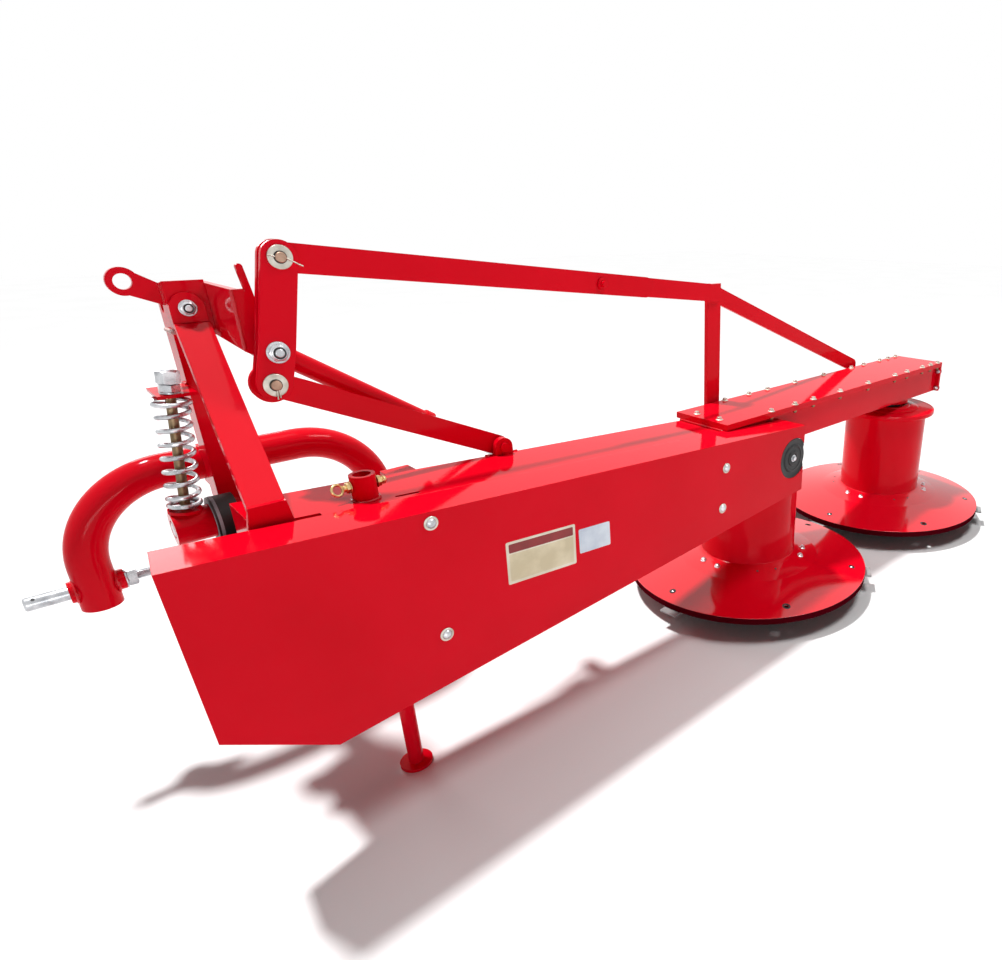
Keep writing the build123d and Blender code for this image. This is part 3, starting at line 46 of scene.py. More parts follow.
# ---- places, in metres, from the part's own sizes -------------------------------------------
CRANK_TOP = (-0.978, 0.0665, 0.870)
CRANK_MID = (-1.007, 0.0665, 0.739)
CRANK_LOW = (-1.020, 0.0665, 0.693)
GUARD_FACE_Y = -0.150
DRUMS = {"inner": (0.0, 0.326), "outer": (0.675, 0.367)}      # axis X and height of the top
COVER_TOP = 0.492
HITCH_Y = 0.330
PIN_Z = 0.3555
STAND = (-0.956, -0.027)
X_AXIS = Vector((1, 0, 0))
Y_AXIS = Vector((0, 1, 0))
Z_AXIS = Vector((0, 0, 1))
TO_REAR = -Y_AXIS               # out of the faces turned to the camera


# ---- materials ------------------------------------------------------------------------------
def new_material(name, base, metallic=0.0, roughness=0.5, **sockets):
    """A Principled material with its plain values set on the shader itself."""
    mat = bpy.data.materials.new(name)
    mat.use_nodes = True
    shader = mat.node_tree.nodes["Principled BSDF"]
    shader.inputs["Base Color"].default_value = (*base, 1)
    shader.inputs["Metallic"].default_value = metallic
    shader.inputs["Roughness"].default_value = roughness
    for socket, value in sockets.items():
        shader.inputs[socket.replace("_", " ")].default_value = value
    return mat


def add_node(mat, kind, **values):
    node = mat.node_tree.nodes.new(kind)
    for key, value in values.items():
        setattr(node, key, value)
    return node


def link(mat, out_socket, in_socket):
    mat.node_tree.links.new(out_socket, in_socket)


def noise_of(mat, scale, detail=3.0, stretch=(1, 1, 1)):
    """Noise over the object's own coordinates, as a socket from 0 to 1."""
    coords = add_node(mat, "ShaderNodeTexCoord")
    mapping = add_node(mat, "ShaderNodeMapping")
    mapping.inputs["Scale"].default_value = stretch
    link(mat, coords.outputs["Object"], mapping.inputs["Vector"])
    noise = add_node(mat, "ShaderNodeTexNoise")
    noise.inputs["Scale"].default_value = scale
    noise.inputs["Detail"].default_value = detail
    link(mat, mapping.outputs["Vector"], noise.inputs["Vector"])
    return noise.outputs["Fac"]


def ramp_of(mat, value, stops):
    """A colour ramp; stops are (place, linear colour)."""
    ramp = add_node(mat, "ShaderNodeValToRGB")
    elements = ramp.color_ramp.elements
    elements[0].position, elements[1].position = stops[0][0], stops[-1][0]
    elements[0].color, elements[1].color = (*stops[0][1], 1), (*stops[-1][1], 1)
    for place, colour in stops[1:-1]:
        element = elements.new(place)
        element.color = (*colour, 1)
    link(mat, value, ramp.inputs["Fac"])
    return ramp.outputs["Color"]


def range_of(mat, value, low, high):
    """Maps 0..1 to low..high."""
    node = add_node(mat, "ShaderNodeMapRange")
    node.inputs["To Min"].default_value = low
    node.inputs["To Max"].default_value = high
    link(mat, value, node.inputs["Value"])
    return node.outputs["Result"]


def bump_of(mat, value, distance, strength=1.0, normal=None):
    bump = add_node(mat, "ShaderNodeBump")
    bump.inputs["Distance"].default_value = distance
    bump.inputs["Strength"].default_value = strength
    link(mat, value, bump.inputs["Height"])
    if normal is not None:
        link(mat, normal, bump.inputs["Normal"])
    return bump.outputs["Normal"]


def soft_edges(mat, radius):
    """A shaded rounding of the sheet edges, as a normal."""
    bevel = add_node(mat, "ShaderNodeBevel")
    bevel.samples = 4
    bevel.inputs["Radius"].default_value = radius
    return bevel.outputs["Normal"]


def shader_of(mat):
    return mat.node_tree.nodes["Principled BSDF"]


SHEET_EDGE = 0.0012
HARDWARE_EDGE = 0.0006


def paint(name, deep, bright, roughness, **sockets):
    """Sprayed enamel: slow colour drift, fine orange peel, and soft edges."""
    mat = new_material(name, bright, roughness=roughness, **sockets)
    shader = shader_of(mat)
    drift = noise_of(mat, 3.1, 4.0)
    link(mat, ramp_of(mat, drift, [(0.3, deep), (0.7, bright)]), shader.inputs["Base Color"])
    smear = noise_of(mat, 19.0, 5.0)
    link(mat, range_of(mat, smear, roughness * 0.7, roughness * 1.4), shader.inputs["Roughness"])
    peel = noise_of(mat, 230.0, 2.0)
    link(mat, bump_of(mat, peel, 0.00006, 0.5, soft_edges(mat, SHEET_EDGE)), shader.inputs["Normal"])
    return mat


def plated(name, dark, light, roughness):
    """Bright plating with a cloudy bloom and fine handling marks."""
    mat = new_material(name, light, metallic=1.0, roughness=roughness)
    shader = shader_of(mat)
    bloom = noise_of(mat, 60.0, 4.0)
    link(mat, ramp_of(mat, bloom, [(0.3, dark), (0.68, light)]), shader.inputs["Base Color"])
    marks = noise_of(mat, 420.0, 3.0, (1, 1, 5))
    link(mat, range_of(mat, marks, roughness * 0.7, roughness * 1.5), shader.inputs["Roughness"])
    link(mat, bump_of(mat, marks, 0.00004, 0.5, soft_edges(mat, HARDWARE_EDGE)), shader.inputs["Normal"])
    return mat


def dark_finish(name, dark, light, roughness, grain, depth, **sockets):
    """Black paint, plastic or rubber with a fine grain."""
    mat = new_material(name, light, roughness=roughness, **sockets)
    shader = shader_of(mat)
    cloud = noise_of(mat, 24.0, 5.0)
    link(mat, ramp_of(mat, cloud, [(0.35, dark), (0.7, light)]), shader.inputs["Base Color"])
    fine = noise_of(mat, grain, 3.0)
    link(mat, range_of(mat, fine, roughness * 0.8, roughness * 1.25), shader.inputs["Roughness"])
    link(mat, bump_of(mat, fine, depth, 0.6), shader.inputs["Normal"])
    return mat


RED_DEEP = (0.62, 0.0008, 0.0095)
RED_BRIGHT = (0.72, 0.0014, 0.0140)
red = paint("red_enamel", RED_DEEP, RED_BRIGHT, 0.065, Specular_IOR_Level=0.07)
zinc = plated("bright_zinc", (0.34, 0.35, 0.37), (0.66, 0.67, 0.69), 0.26)
worn = plated("worn_zinc", (0.40, 0.37, 0.31), (0.66, 0.64, 0.57), 0.34)
brown = plated("brown_pin_ends", (0.22, 0.14, 0.10), (0.44, 0.29, 0.21), 0.42)
dull_rod = plated("dull_rod", (0.16, 0.11, 0.06), (0.28, 0.20, 0.12), 0.40)
gold = plated("yellow_zinc", (0.42, 0.28, 0.11), (0.74, 0.55, 0.27), 0.28)
black = dark_finish("black_enamel", (0.006, 0.006, 0.007), (0.020, 0.020, 0.021), 0.35, 320.0, 0.00005)
plastic = dark_finish("black_plastic", (0.004, 0.004, 0.005), (0.012, 0.012, 0.013), 0.34, 700.0, 0.00006,
                      Specular_IOR_Level=0.3)
rubber = dark_finish("black_rubber", (0.004, 0.004, 0.004), (0.013, 0.012, 0.012), 0.46, 520.0, 0.00010,
                     Specular_IOR_Level=0.35)
# pale grey rubber: a painted highlight on the buffer's chamfer
rubber_with_painted_highlight = dark_finish("rubber_edge_painted_highlight", (0.10, 0.11, 0.12), (0.34, 0.36, 0.39), 0.60, 300.0, 0.00010)
knife_steel = dark_finish("knife_steel", (0.20, 0.20, 0.20), (0.36, 0.36, 0.36), 0.45, 200.0, 0.00008)
cast = dark_finish("black_casting", (0.008, 0.008, 0.009), (0.026, 0.026, 0.028), 0.42, 260.0, 0.00022)
cream = dark_finish("cream_plate", (0.60, 0.50, 0.32), (0.80, 0.70, 0.50), 0.42, 90.0, 0.00002)
cream_edge = dark_finish("pale_plate_edge", (0.70, 0.62, 0.48), (0.86, 0.80, 0.68), 0.40, 90.0, 0.00002)
header = dark_finish("plate_header", (0.20, 0.004, 0.006), (0.30, 0.010, 0.012), 0.40, 90.0, 0.00002)
pale_blue = dark_finish("small_plate", (0.52, 0.58, 0.68), (0.74, 0.79, 0.86), 0.35, 90.0, 0.00002)
weld_red = paint("painted_weld", (0.52, 0.0008, 0.007), RED_BRIGHT, 0.16, Specular_IOR_Level=0.4)
weld_pale = dark_finish("scorched_weld", (0.42, 0.20, 0.18), (0.80, 0.66, 0.62), 0.42, 400.0, 0.00015)



def drum_paint():
    """The same enamel, with painted shade on the skirt's rolled edge: dark and matt there, in deep gloss on
    the skirt, plain on the drum.
    """
    mat = paint("drum_enamel_with_painted_rim_shade", RED_DEEP, RED_BRIGHT, 0.075)
    shader = shader_of(mat)
    coords = add_node(mat, "ShaderNodeTexCoord")
    split = add_node(mat, "ShaderNodeSeparateXYZ")
    link(mat, coords.outputs["Object"], split.inputs["Vector"])

    def by_height(low_z, high_z, low, high):
        node = add_node(mat, "ShaderNodeMapRange")
        for socket, value in (("From Min", low_z), ("From Max", high_z), ("To Min", low), ("To Max", high)):
            node.inputs[socket].default_value = value
        link(mat, split.outputs["Z"], node.inputs["Value"])
        return node.outputs["Result"]

    # mask for the skirt's rolled edge, which gets a dark colour as painted shade under the curled lip
    above_painted_rim_shade = by_height(0.0640, 0.0646, 0.0, 1.0)
    gloss = add_node(mat, "ShaderNodeMath", operation="MULTIPLY")
    link(mat, by_height(0.103, 0.108, 0.80, 0.07), gloss.inputs[0])
    link(mat, above_painted_rim_shade, gloss.inputs[1])
    link(mat, gloss.outputs[0], shader.inputs["Specular IOR Level"])
    shade = add_node(mat, "ShaderNodeMix", data_type="RGBA")
    colours = [socket for socket in shade.inputs if socket.type == "RGBA"]
    # painted shade: the dark colour of the rolled edge
    colours[0].default_value = (0.060, 0.0008, 0.004, 1)
    link(mat, above_painted_rim_shade, shade.inputs[0])
    link(mat, shader.inputs["Base Color"].links[0].from_socket, colours[1])
    link(mat, next(socket for socket in shade.outputs if socket.type == "RGBA"), shader.inputs["Base Color"])
    return mat


drum_red = drum_paint()

SLOT_MATERIALS = {
    "red_paint": red,
    "zinc": zinc,
    "yellow_zinc": gold,
    "black_steel": black,
    "black_plastic": plastic,
    "black_rubber": rubber,
    "cast_pulley": cast,
}
for part in frame["record"]["subparts"]:
    mesh = nodes[part["node"]].data
    mesh.materials.clear()
    mesh.materials.append(SLOT_MATERIALS[part["material_slot"]])
for names, material in (
    (("inner_drum", "outer_drum"), drum_red),
    (("inner_knives", "outer_knives", "inner_knife_bolts", "outer_knife_bolts"), knife_steel),
    (("slide_pin",), red),
):
    for name in names:
        mesh = nodes[name].data
        mesh.materials.clear()
        mesh.materials.append(material)

# ---- shaping --------------------------------------------------------------------------------
SHARP_ANGLE = math.radians(34.0)


def basis_on(axis, side=None):
    """Rotation whose Z is the axis, and whose X is as near to side as it can be."""
    z = Vector(axis).normalized()
    x = Vector(side) if side is not None else (Z_AXIS if abs(z.z) < 0.9 else X_AXIS)
    x = (x - z * x.dot(z)).normalized()
    return Matrix((x, z.cross(x), z)).transposed()


def join_rings(bm, first, second):
    """Quads or triangles between two rings, either of which may be a single point."""
    count = max(len(first), len(second))
    for i in range(count):
        j = (i + 1) % count
        if len(first) == 1:
            bm.faces.new((first[0], second[i], second[j]))
        elif len(second) == 1:
            bm.faces.new((first[i], first[j], second[0]))
        else:
            bm.faces.new((first[i], first[j], second[j], second[i]))


def lathe(bm, place, axis, profile, sides=24, side=None):
    """Turned solid: profile is (radius, height) pairs; either may be a function of the angle."""
    basis = basis_on(axis, side)
    origin = Vector(place)
    rings = []
    for radius, height in profile:
        ring = []
        steps = 1 if radius == 0 else sides
        for i in range(steps):
            angle = 2 * math.pi * i / steps
            r = radius(angle) if callable(radius) else radius
            h = height(angle) if callable(height) else height
            ring.append(bm.verts.new(origin + basis @ Vector((r * math.cos(angle), r * math.sin(angle), h))))
        rings.append(ring)
    for first, second in zip(rings, rings[1:]):
        join_rings(bm, first, second)


def hex_radius(across, angle):
    return across / 2 / math.cos((angle + math.pi / 6) % (math.pi / 3) - math.pi / 6)


def hex_head(bm, place, axis, across, low, high, both=False, side=None):
    """Chamfered hexagon between two heights along the axis."""
    flat = across / 2 * 0.94
    slope = math.tan(math.radians(30))

    def corner(angle):
        return hex_radius(across, angle)

    def drop(angle):
        return (hex_radius(across, angle) - flat) * slope

    profile = [(0, low)]
    if both:
        profile += [(flat, low), (corner, lambda a: low + drop(a))]
    else:
        profile += [(corner, low)]
    profile += [(corner, lambda a: high - drop(a)), (flat, high), (0, high)]
    lathe(bm, place, axis, profile, 24, side)


def washer(bm, place, axis, inner, outer, low, high, bevel=0.0004):
    lathe(
        bm,
        place,
        axis,
        [
            (inner, low),
            (outer - bevel, low),
            (outer, low + bevel),
            (outer, high - bevel),
            (outer - bevel, high),
            (inner, high),
            (inner, low),
        ],
        32,
    )


def button(bm, place, axis, radius, low, high, sides=20):
    """Low dome, as on a coach bolt."""
    rows = 5
    profile = [(0, low), (radius, low)]
    for i in range(1, rows):
        t = math.pi / 2 * i / rows
        profile.append((radius * math.cos(t), low + (high - low) * math.sin(t)))
    lathe(bm, place, axis, profile + [(0, high)], sides)


def thread(bm, place, axis, radius, low, high, pitch):
    """Screw thread, as rings close enough to read as one."""
    turns = max(1, int((high - low) / pitch))
    profile = [(0, low), (radius * 0.9, low)]
    for i in range(turns):
        base = low + (high - low) * i / turns
        step = (high - low) / turns
        profile += [(radius * 0.9, base), (radius, base + step * 0.5)]
    lathe(bm, place, axis, profile + [(radius * 0.86, high), (0, high)], 16)


def tube(bm, points, radius, sides=8, closed=False):
    """Round tube along points; radius may be a function of the share along it."""
    points = [Vector(p) for p in points]
    count = len(points)
    rings = []
    normal = None
    for i, point in enumerate(points):
        ahead = points[(i + 1) % count] if closed or i < count - 1 else point
        behind = points[i - 1] if closed or i > 0 else point
        tangent = (ahead - behind).normalized()
        if normal is None:
            normal = basis_on(tangent).col[0].copy()
        normal = (normal - tangent * normal.dot(tangent)).normalized()
        other = tangent.cross(normal)
        r = radius(i / count) if callable(radius) else radius
        rings.append([
            bm.verts.new(point + normal * (r * math.cos(a)) + other * (r * math.sin(a)))
            for a in (2 * math.pi * k / sides for k in range(sides))
        ])
    for first, second in zip(rings, rings[1:]):
        join_rings(bm, first, second)
    if closed:
        turn = min(range(sides), key=lambda k: (rings[-1][0].co - rings[0][k].co).length)
        join_rings(bm, rings[-1], rings[0][turn:] + rings[0][:turn])
    else:
        bm.faces.new(rings[0][::-1])
        bm.faces.new(rings[-1])


def bead(bm, points, radius, ripple, closed=False, seed=0.0):
    """Weld bead: a thick line with overlapping scallops."""
    length = sum((Vector(b) - Vector(a)).length for a, b in zip(points, points[1:]))
    waves = max(2, round(length / ripple))

    def swell(share):
        scallop = abs(math.sin(math.pi * waves * share + seed))
        return radius * (0.78 + 0.26 * scallop + 0.10 * math.sin(17.0 * share + seed))

    tube(bm, points, swell, 6, closed)


def straight(start, end):
    """Points along a line, 2.5 mm apart."""
    start, end = Vector(start), Vector(end)
    count = max(2, math.ceil((end - start).length / 0.0025))
    return [start.lerp(end, i / count) for i in range(count + 1)]


def circle(place, axis, radius, step=0.003, start=0.0, sweep=2 * math.pi):
    """Points on a circle or a part of it; the last is left off where it closes."""
    basis = basis_on(axis)
    count = max(12, math.ceil(radius * abs(sweep) / step))
    whole = abs(abs(sweep) - 2 * math.pi) < 1e-6
    return [
        Vector(place) + basis @ Vector((radius * math.cos(a), radius * math.sin(a), 0))
        for a in (start + sweep * i / count for i in range(count if whole else count + 1))
    ]


def slab(bm, place, across, up, width, height, thick, corner):
    """Flat plate with round corners; place is its middle, on the face it lies on."""
    x, y = Vector(across).normalized(), Vector(up).normalized()
    z = x.cross(y)
    outline = []
    for k, (sx, sy) in enumerate(((1, 1), (-1, 1), (-1, -1), (1, -1))):
        middle = x * (sx * (width / 2 - corner)) + y * (sy * (height / 2 - corner))
        for i in range(4):
            a = math.pi / 2 * (k + i / 3)
            outline.append(Vector(place) + middle + x * (corner * math.cos(a)) + y * (corner * math.sin(a)))
    low = [bm.verts.new(p) for p in outline]
    high = [bm.verts.new(p + z * thick) for p in outline]
    join_rings(bm, low, high)
    bm.faces.new(low[::-1])
    bm.faces.new(high)


def finish_piece(name, bm, material, body, replaces=()):
    """Turns what was shaped into one piece that rides on a body."""
    bmesh.ops.recalc_face_normals(bm, faces=bm.faces)
    for face in bm.faces:
        face.smooth = True
    for edge in bm.edges:
        if len(edge.link_faces) == 2 and edge.calc_face_angle(0.0) > SHARP_ANGLE:
            edge.smooth = False
    mesh = bpy.data.meshes.new(name)
    bm.to_mesh(mesh)
    bm.free()
    mesh.materials.append(material)
    piece = bpy.data.objects.new(name, mesh)
    bpy.context.scene.collection.objects.link(piece)
    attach(piece, body)
    if replaces:
        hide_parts(*replaces)
    return piece


# ---- hardware -------------------------------------------------------------------------------
def flange_bolt(bm, place, axis, flange, across, height):
    """Hexagon head with a washer face cast on."""
    lathe(bm, place, axis, [(0, 0), (flange, 0), (flange, 0.0008), (across * 0.56, 0.0024), (0, 0.0024)], 24)
    hex_head(bm, place, axis, across, 0.002, height)


def lock_nut(metal, insert, place, axis, across, low, high, bolt):
    """Nut with a dark nylon ring and the bolt's end standing in it."""
    hex_head(metal, place, axis, across, low, high - 0.0022)
    collar = across / 2 * 0.90
    lathe(metal, place, axis, [
        (collar, high - 0.003), (collar, high - 0.0008), (collar - 0.0012, high),
        (bolt + 0.0026, high), (bolt + 0.0024, high - 0.002),
    ], 28)
    lathe(insert, place, axis, [
        (bolt + 0.0026, high - 0.0024), (bolt + 0.0026, high - 0.0006),
        (bolt, high - 0.0010), (bolt, high - 0.0024),
    ], 28)
    lathe(metal, place, axis, [
        (0, low), (bolt, low), (bolt, high + 0.0008), (bolt - 0.0009, high + 0.0016), (0, high + 0.0016),
    ], 24)


def wire_path(points):
    """Smooth path through a few corners."""
    rows = 6
    points = [Vector(p) for p in points]
    line = []
    for i in range(len(points) - 1):
        before = points[max(i - 1, 0)]
        after = points[min(i + 2, len(points) - 1)]
        a, b = points[i], points[i + 1]
        for k in range(rows):
            t = k / rows
            line.append(0.5 * (2 * a + (b - before) * t + (2 * before - 5 * a + 4 * b - after) * t ** 2
                               + (3 * a - before - 3 * b + after) * t ** 3))
    return line + [points[-1]]


# bell crank pins: washer, pin end and cotter; a black ring in the gap between pin and washer is painted
# shade
washers, pin_ends, painted_gap_shade = bmesh.new(), bmesh.new(), bmesh.new()
for place, legs in (
    (CRANK_TOP, (((-0.004, 0.0), (-0.012, 0.003), (-0.0165, 0.0035)),
                 ((0.006, -0.001), (0.013, -0.005), (0.021, -0.010), (0.027, -0.013)))),
    (CRANK_LOW, (((0.000, -0.006), (-0.001, -0.013), (-0.0015, -0.021)),
                 ((0.002, -0.006), (0.0025, -0.013), (0.002, -0.019)))),
):
    washer(washers, place, TO_REAR, 0.0088, 0.0168, 0.0002, 0.0032, 0.0006)
    # black ring filling the gap round the pin: painted shade
    lathe(painted_gap_shade, place, TO_REAR, [(0.0089, 0.0010), (0.0089, 0.0034), (0.0072, 0.0034), (0.0072, 0.0010)], 28)
    lathe(pin_ends, place, TO_REAR, [
        (0, -0.020), (0.0074, -0.020), (0.0074, 0.0068), (0.0064, 0.0080), (0, 0.0080),
    ], 28)
    lathe(pin_ends, place, Y_AXIS, [
        (0, 0.025), (0.0140, 0.025), (0.0140, 0.029), (0.0128, 0.031), (0, 0.031),
    ], 28)
    for leg in legs:
        points = [(place[0] + x, place[1] - 0.0052, place[2] + z) for x, z in leg]
        tube(washers, wire_path(points), 0.0011, 6)
finish_piece("crank_pin_washers", washers, worn, "crank", ["crank_pins"])
finish_piece("crank_pin_painted_gap_shade", painted_gap_shade, black, "crank")
finish_piece("crank_pin_ends", pin_ends, brown, "crank")

# the crank's pivot and the brace's bolt: washer and lock nut; plain bolt behind
metal, insert = bmesh.new(), bmesh.new()
washer(metal, CRANK_MID, TO_REAR, 0.0100, 0.0160, 0.0002, 0.0026, 0.0007)
lock_nut(metal, insert, CRANK_MID, TO_REAR, 0.0235, 0.0026, 0.0090, 0.0062)
lathe(metal, CRANK_MID, Y_AXIS, [(0, 0), (0.0097, 0), (0.0097, 0.0815), (0.0088, 0.0830), (0, 0.0830)], 24)
washer(metal, CRANK_MID, Y_AXIS, 0.0097, 0.0165, 0.0810, 0.0840, 0.0006)
hex_head(metal, CRANK_MID, Y_AXIS, 0.0240, 0.0840, 0.0930)
finish_piece("crank_pivot_bolt", metal, zinc, "hitch", ["crank_pivot_pin"])
finish_piece("crank_pivot_insert", insert, black, "hitch")
metal, insert = bmesh.new(), bmesh.new()
BRACE_BOLT = (-1.070, 0.243, 0.792)
washer(metal, BRACE_BOLT, TO_REAR, 0.0080, 0.0125, 0.0001, 0.0022, 0.0006)
lock_nut(metal, insert, BRACE_BOLT, TO_REAR, 0.0185, 0.0022, 0.0080, 0.0050)
hex_head(metal, BRACE_BOLT, Y_AXIS, 0.0190, 0.0142, 0.0215)
finish_piece("brace_bolt_detail", metal, zinc, "hitch", ["brace_bolt"])
finish_piece("brace_bolt_insert", insert, black, "hitch")

# break-back spring with closed ends, on its rod under two nuts
SPRING_FOOT = Vector((-1.151, 0.200, 0.4945))
SPRING_TOP = Vector((-1.129, 0.200, 0.671))
spring_axis = (SPRING_TOP - SPRING_FOOT).normalized()
spring_length = (SPRING_TOP - SPRING_FOOT).length
SPRING_WIRE = 0.0036
SPRING_RADIUS = 0.0205          # middle of the wire
TOP_RING_WIDER = 0.0030         # the last turn is larger
spring_basis = basis_on(spring_axis, X_AXIS)
coil = []
END_TURNS, ACTIVE_TURNS, STEPS = 1.1, 7.2, 28
total_turns = 2 * END_TURNS + ACTIVE_TURNS
end_rise = 2.05 * SPRING_WIRE * END_TURNS
low, high = SPRING_WIRE + 0.0002, spring_length - SPRING_WIRE - 0.0004
for i in range(int(total_turns * STEPS) + 1):
    turn = i / STEPS
    if turn < END_TURNS:
        rise = low + end_rise * turn / END_TURNS
    elif turn < END_TURNS + ACTIVE_TURNS:
        share = (turn - END_TURNS) / ACTIVE_TURNS
        rise = low + end_rise + (high - low - 2 * end_rise) * share
    else:
        rise = high - end_rise + end_rise * (turn - END_TURNS - ACTIVE_TURNS) / END_TURNS
    opening = max(0.0, min(1.0, turn - END_TURNS - ACTIVE_TURNS + 0.6))
    spread = SPRING_RADIUS + TOP_RING_WIDER * opening
    angle = 2 * math.pi * turn + 0.6
    turned = Vector((spread * math.cos(angle), spread * math.sin(angle), rise))
    coil.append(SPRING_FOOT + spring_basis @ turned)
bm = bmesh.new()
tube(bm, coil, SPRING_WIRE, 10)
finish_piece("coil_spring", bm, zinc, "hitch", ["break_back_spring"])
bm = bmesh.new()
lathe(bm, SPRING_FOOT, spring_axis, [(0, -0.013), (0.0070, -0.013), (0.0070, spring_length + 0.0045),
                                     (0, spring_length + 0.0045)], 20)
finish_piece("spring_guide_rod", bm, dull_rod, "hitch", ["spring_rod"])
bm = bmesh.new()
nut_seat = SPRING_FOOT + spring_axis * (spring_length + 0.0052)
washer(bm, nut_seat, spring_axis, 0.0070, 0.0135, 0, 0.0022)
hex_head(bm, nut_seat, spring_axis, 0.0255, 0.0022, 0.0140, both=True, side=X_AXIS)
hex_head(bm, nut_seat, spring_axis, 0.0270, 0.0142, 0.0340, both=True, side=Y_AXIS)
lathe(bm, nut_seat, spring_axis, [(0, 0), (0.0085, 0.034), (0.0078, 0.0355), (0, 0.0355)], 20)
finish_piece("spring_nuts", bm, zinc, "hitch")

# lower pins: plated pin, red bushings, nut and thread; black discs at the cross hole as painted shade
pins, bushings, holes = bmesh.new(), bmesh.new(), bmesh.new()
for leg_x, out in ((-1.281, -1), (-0.809, 1)):
    foot = (leg_x, HITCH_Y, PIN_Z)
    away = X_AXIS * out
    lathe(pins, foot, away, [(0, -0.036), (0.0110, -0.036), (0.0110, 0.0868), (0.0100, 0.0887),
                             (0.0082, 0.0898), (0, 0.0900)], 28)
    lathe(bushings, foot, away, [(0.0110, 0.0190), (0.0180, 0.0190), (0.0180, 0.0338), (0.0170, 0.0349),
                                 (0.0113, 0.0349)], 28)
    lathe(bushings, foot, -away, [(0.0110, 0.0190), (0.0172, 0.0190), (0.0172, 0.0368), (0.0162, 0.0378),
                                  (0.0110, 0.0378)], 28)
    washer(pins, foot, -away, 0.0080, 0.0165, 0.0378, 0.0402)
    hex_head(pins, foot, -away, 0.0260, 0.0402, 0.0545, both=True)
    thread(pins, foot, -away, 0.0076, 0.0530, 0.0735, 0.0018)
    tip = Vector(foot) + away * 0.0775
    # the cotter hole is not cut: black discs on the pin's surface stand for its shade, as painted shade
    hole_axis = Vector((0, -0.62, 0.78)).normalized()
    for side in (hole_axis, -hole_axis):
        lathe(holes, tip, side, [(0, 0.009), (0.0026, 0.009), (0.0026, 0.01105), (0, 0.01105)], 16)
finish_piece("lower_hitch_pins", pins, zinc, "hitch", ["lower_pin_left", "lower_pin_right"])
finish_piece("lower_pin_bushings", bushings, red, "hitch")
finish_piece("lower_pin_painted_hole_shade", holes, black, "hitch")

# cover bolts: flange heads above, thread ends and nuts below
COVER_STATIONS = (-0.018, 0.076, 0.154, 0.277, 0.418, 0.567, 0.639, 0.735, 0.788, 0.836)
cover_places = [(x, side * 0.076) for x in COVER_STATIONS for side in (-1, 1)]
cover_places += [(-0.162, -0.038), (-0.162, 0.034)]
bm, nuts = bmesh.new(), bmesh.new()
for x, y in cover_places:
    flange_bolt(bm, (x, y, COVER_TOP), Z_AXIS, 0.0086, 0.0104, 0.0066)
    hex_head(nuts, (x, y, COVER_TOP - 0.014), -Z_AXIS, 0.0100, 0.0002, 0.0050)
    lathe(nuts, (x, y, COVER_TOP - 0.014), -Z_AXIS, [(0, 0), (0.0030, 0), (0.0030, 0.0066), (0.0026, 0.0070),
                                                     (0, 0.0070)], 14)
finish_piece("cover_screws", bm, worn, "cutting_unit", ["cover_bolts"])
finish_piece("cover_nuts", nuts, dull_rod, "cutting_unit")

# belt guard bolts: domed heads on washers
bm = bmesh.new()
guard_washers = bmesh.new()
for x, z in ((-0.914, 0.504), (-0.916, 0.312), (-0.260, 0.426), (-0.270, 0.335)):
    place = (x, GUARD_FACE_Y, z)
    washer(guard_washers, place, TO_REAR, 0.0040, 0.0112, 0.0001, 0.0017, 0.0005)
    button(bm, place, TO_REAR, 0.0080, 0.0016, 0.0062)
    lathe(bm, place, Y_AXIS, [(0, -0.001), (0.0064, -0.001), (0.0064, 0.0745), (0, 0.0745)], 16)
finish_piece("guard_dome_bolts", bm, zinc, "cutting_unit", ["guard_bolts"])
finish_piece("guard_bolt_washers", guard_washers, worn, "cutting_unit")

# the parking leg's clamp screws, one of them with a ring to turn it by
bm = bmesh.new()
clamp = Vector((STAND[0], STAND[1], 0.544))
for away in (X_AXIS, -X_AXIS):
    thread(bm, clamp, away, 0.0050, 0.0132, 0.0300, 0.0016)
    washer(bm, clamp, away, 0.0045, 0.0098, 0.0192, 0.0208)
    hex_head(bm, clamp, away, 0.0150, 0.0208, 0.0262, both=True)
button(bm, clamp, X_AXIS, 0.0072, 0.0295, 0.0350)
tube(bm, circle(clamp - X_AXIS * 0.0385, Vector((0.25, -0.9, 0.35)), 0.0085), 0.0021, 8, closed=True)
finish_piece("leg_clamp_screws", bm, gold, "cutting_unit", ["clamp_screws"])

# the end plate's bolts, with their nuts on its inner face
END_PLATE_INNER_X, END_PLATE_OUTER_X = 0.8508, 0.8592
bm = bmesh.new()
for y in (-0.0755, 0.0755):
    for z in (0.408, 0.462):
        inner, outer = (END_PLATE_INNER_X, y, z), (END_PLATE_OUTER_X, y, z)
        hex_head(bm, inner, -X_AXIS, 0.0125, 0.0002, 0.0070)
        lathe(bm, inner, -X_AXIS, [(0, 0), (0.0038, 0), (0.0038, 0.0105), (0, 0.0108)], 14)
        flange_bolt(bm, outer, X_AXIS, 0.0088, 0.0110, 0.0065)
finish_piece("end_plate_bolts", bm, zinc, "cutting_unit")

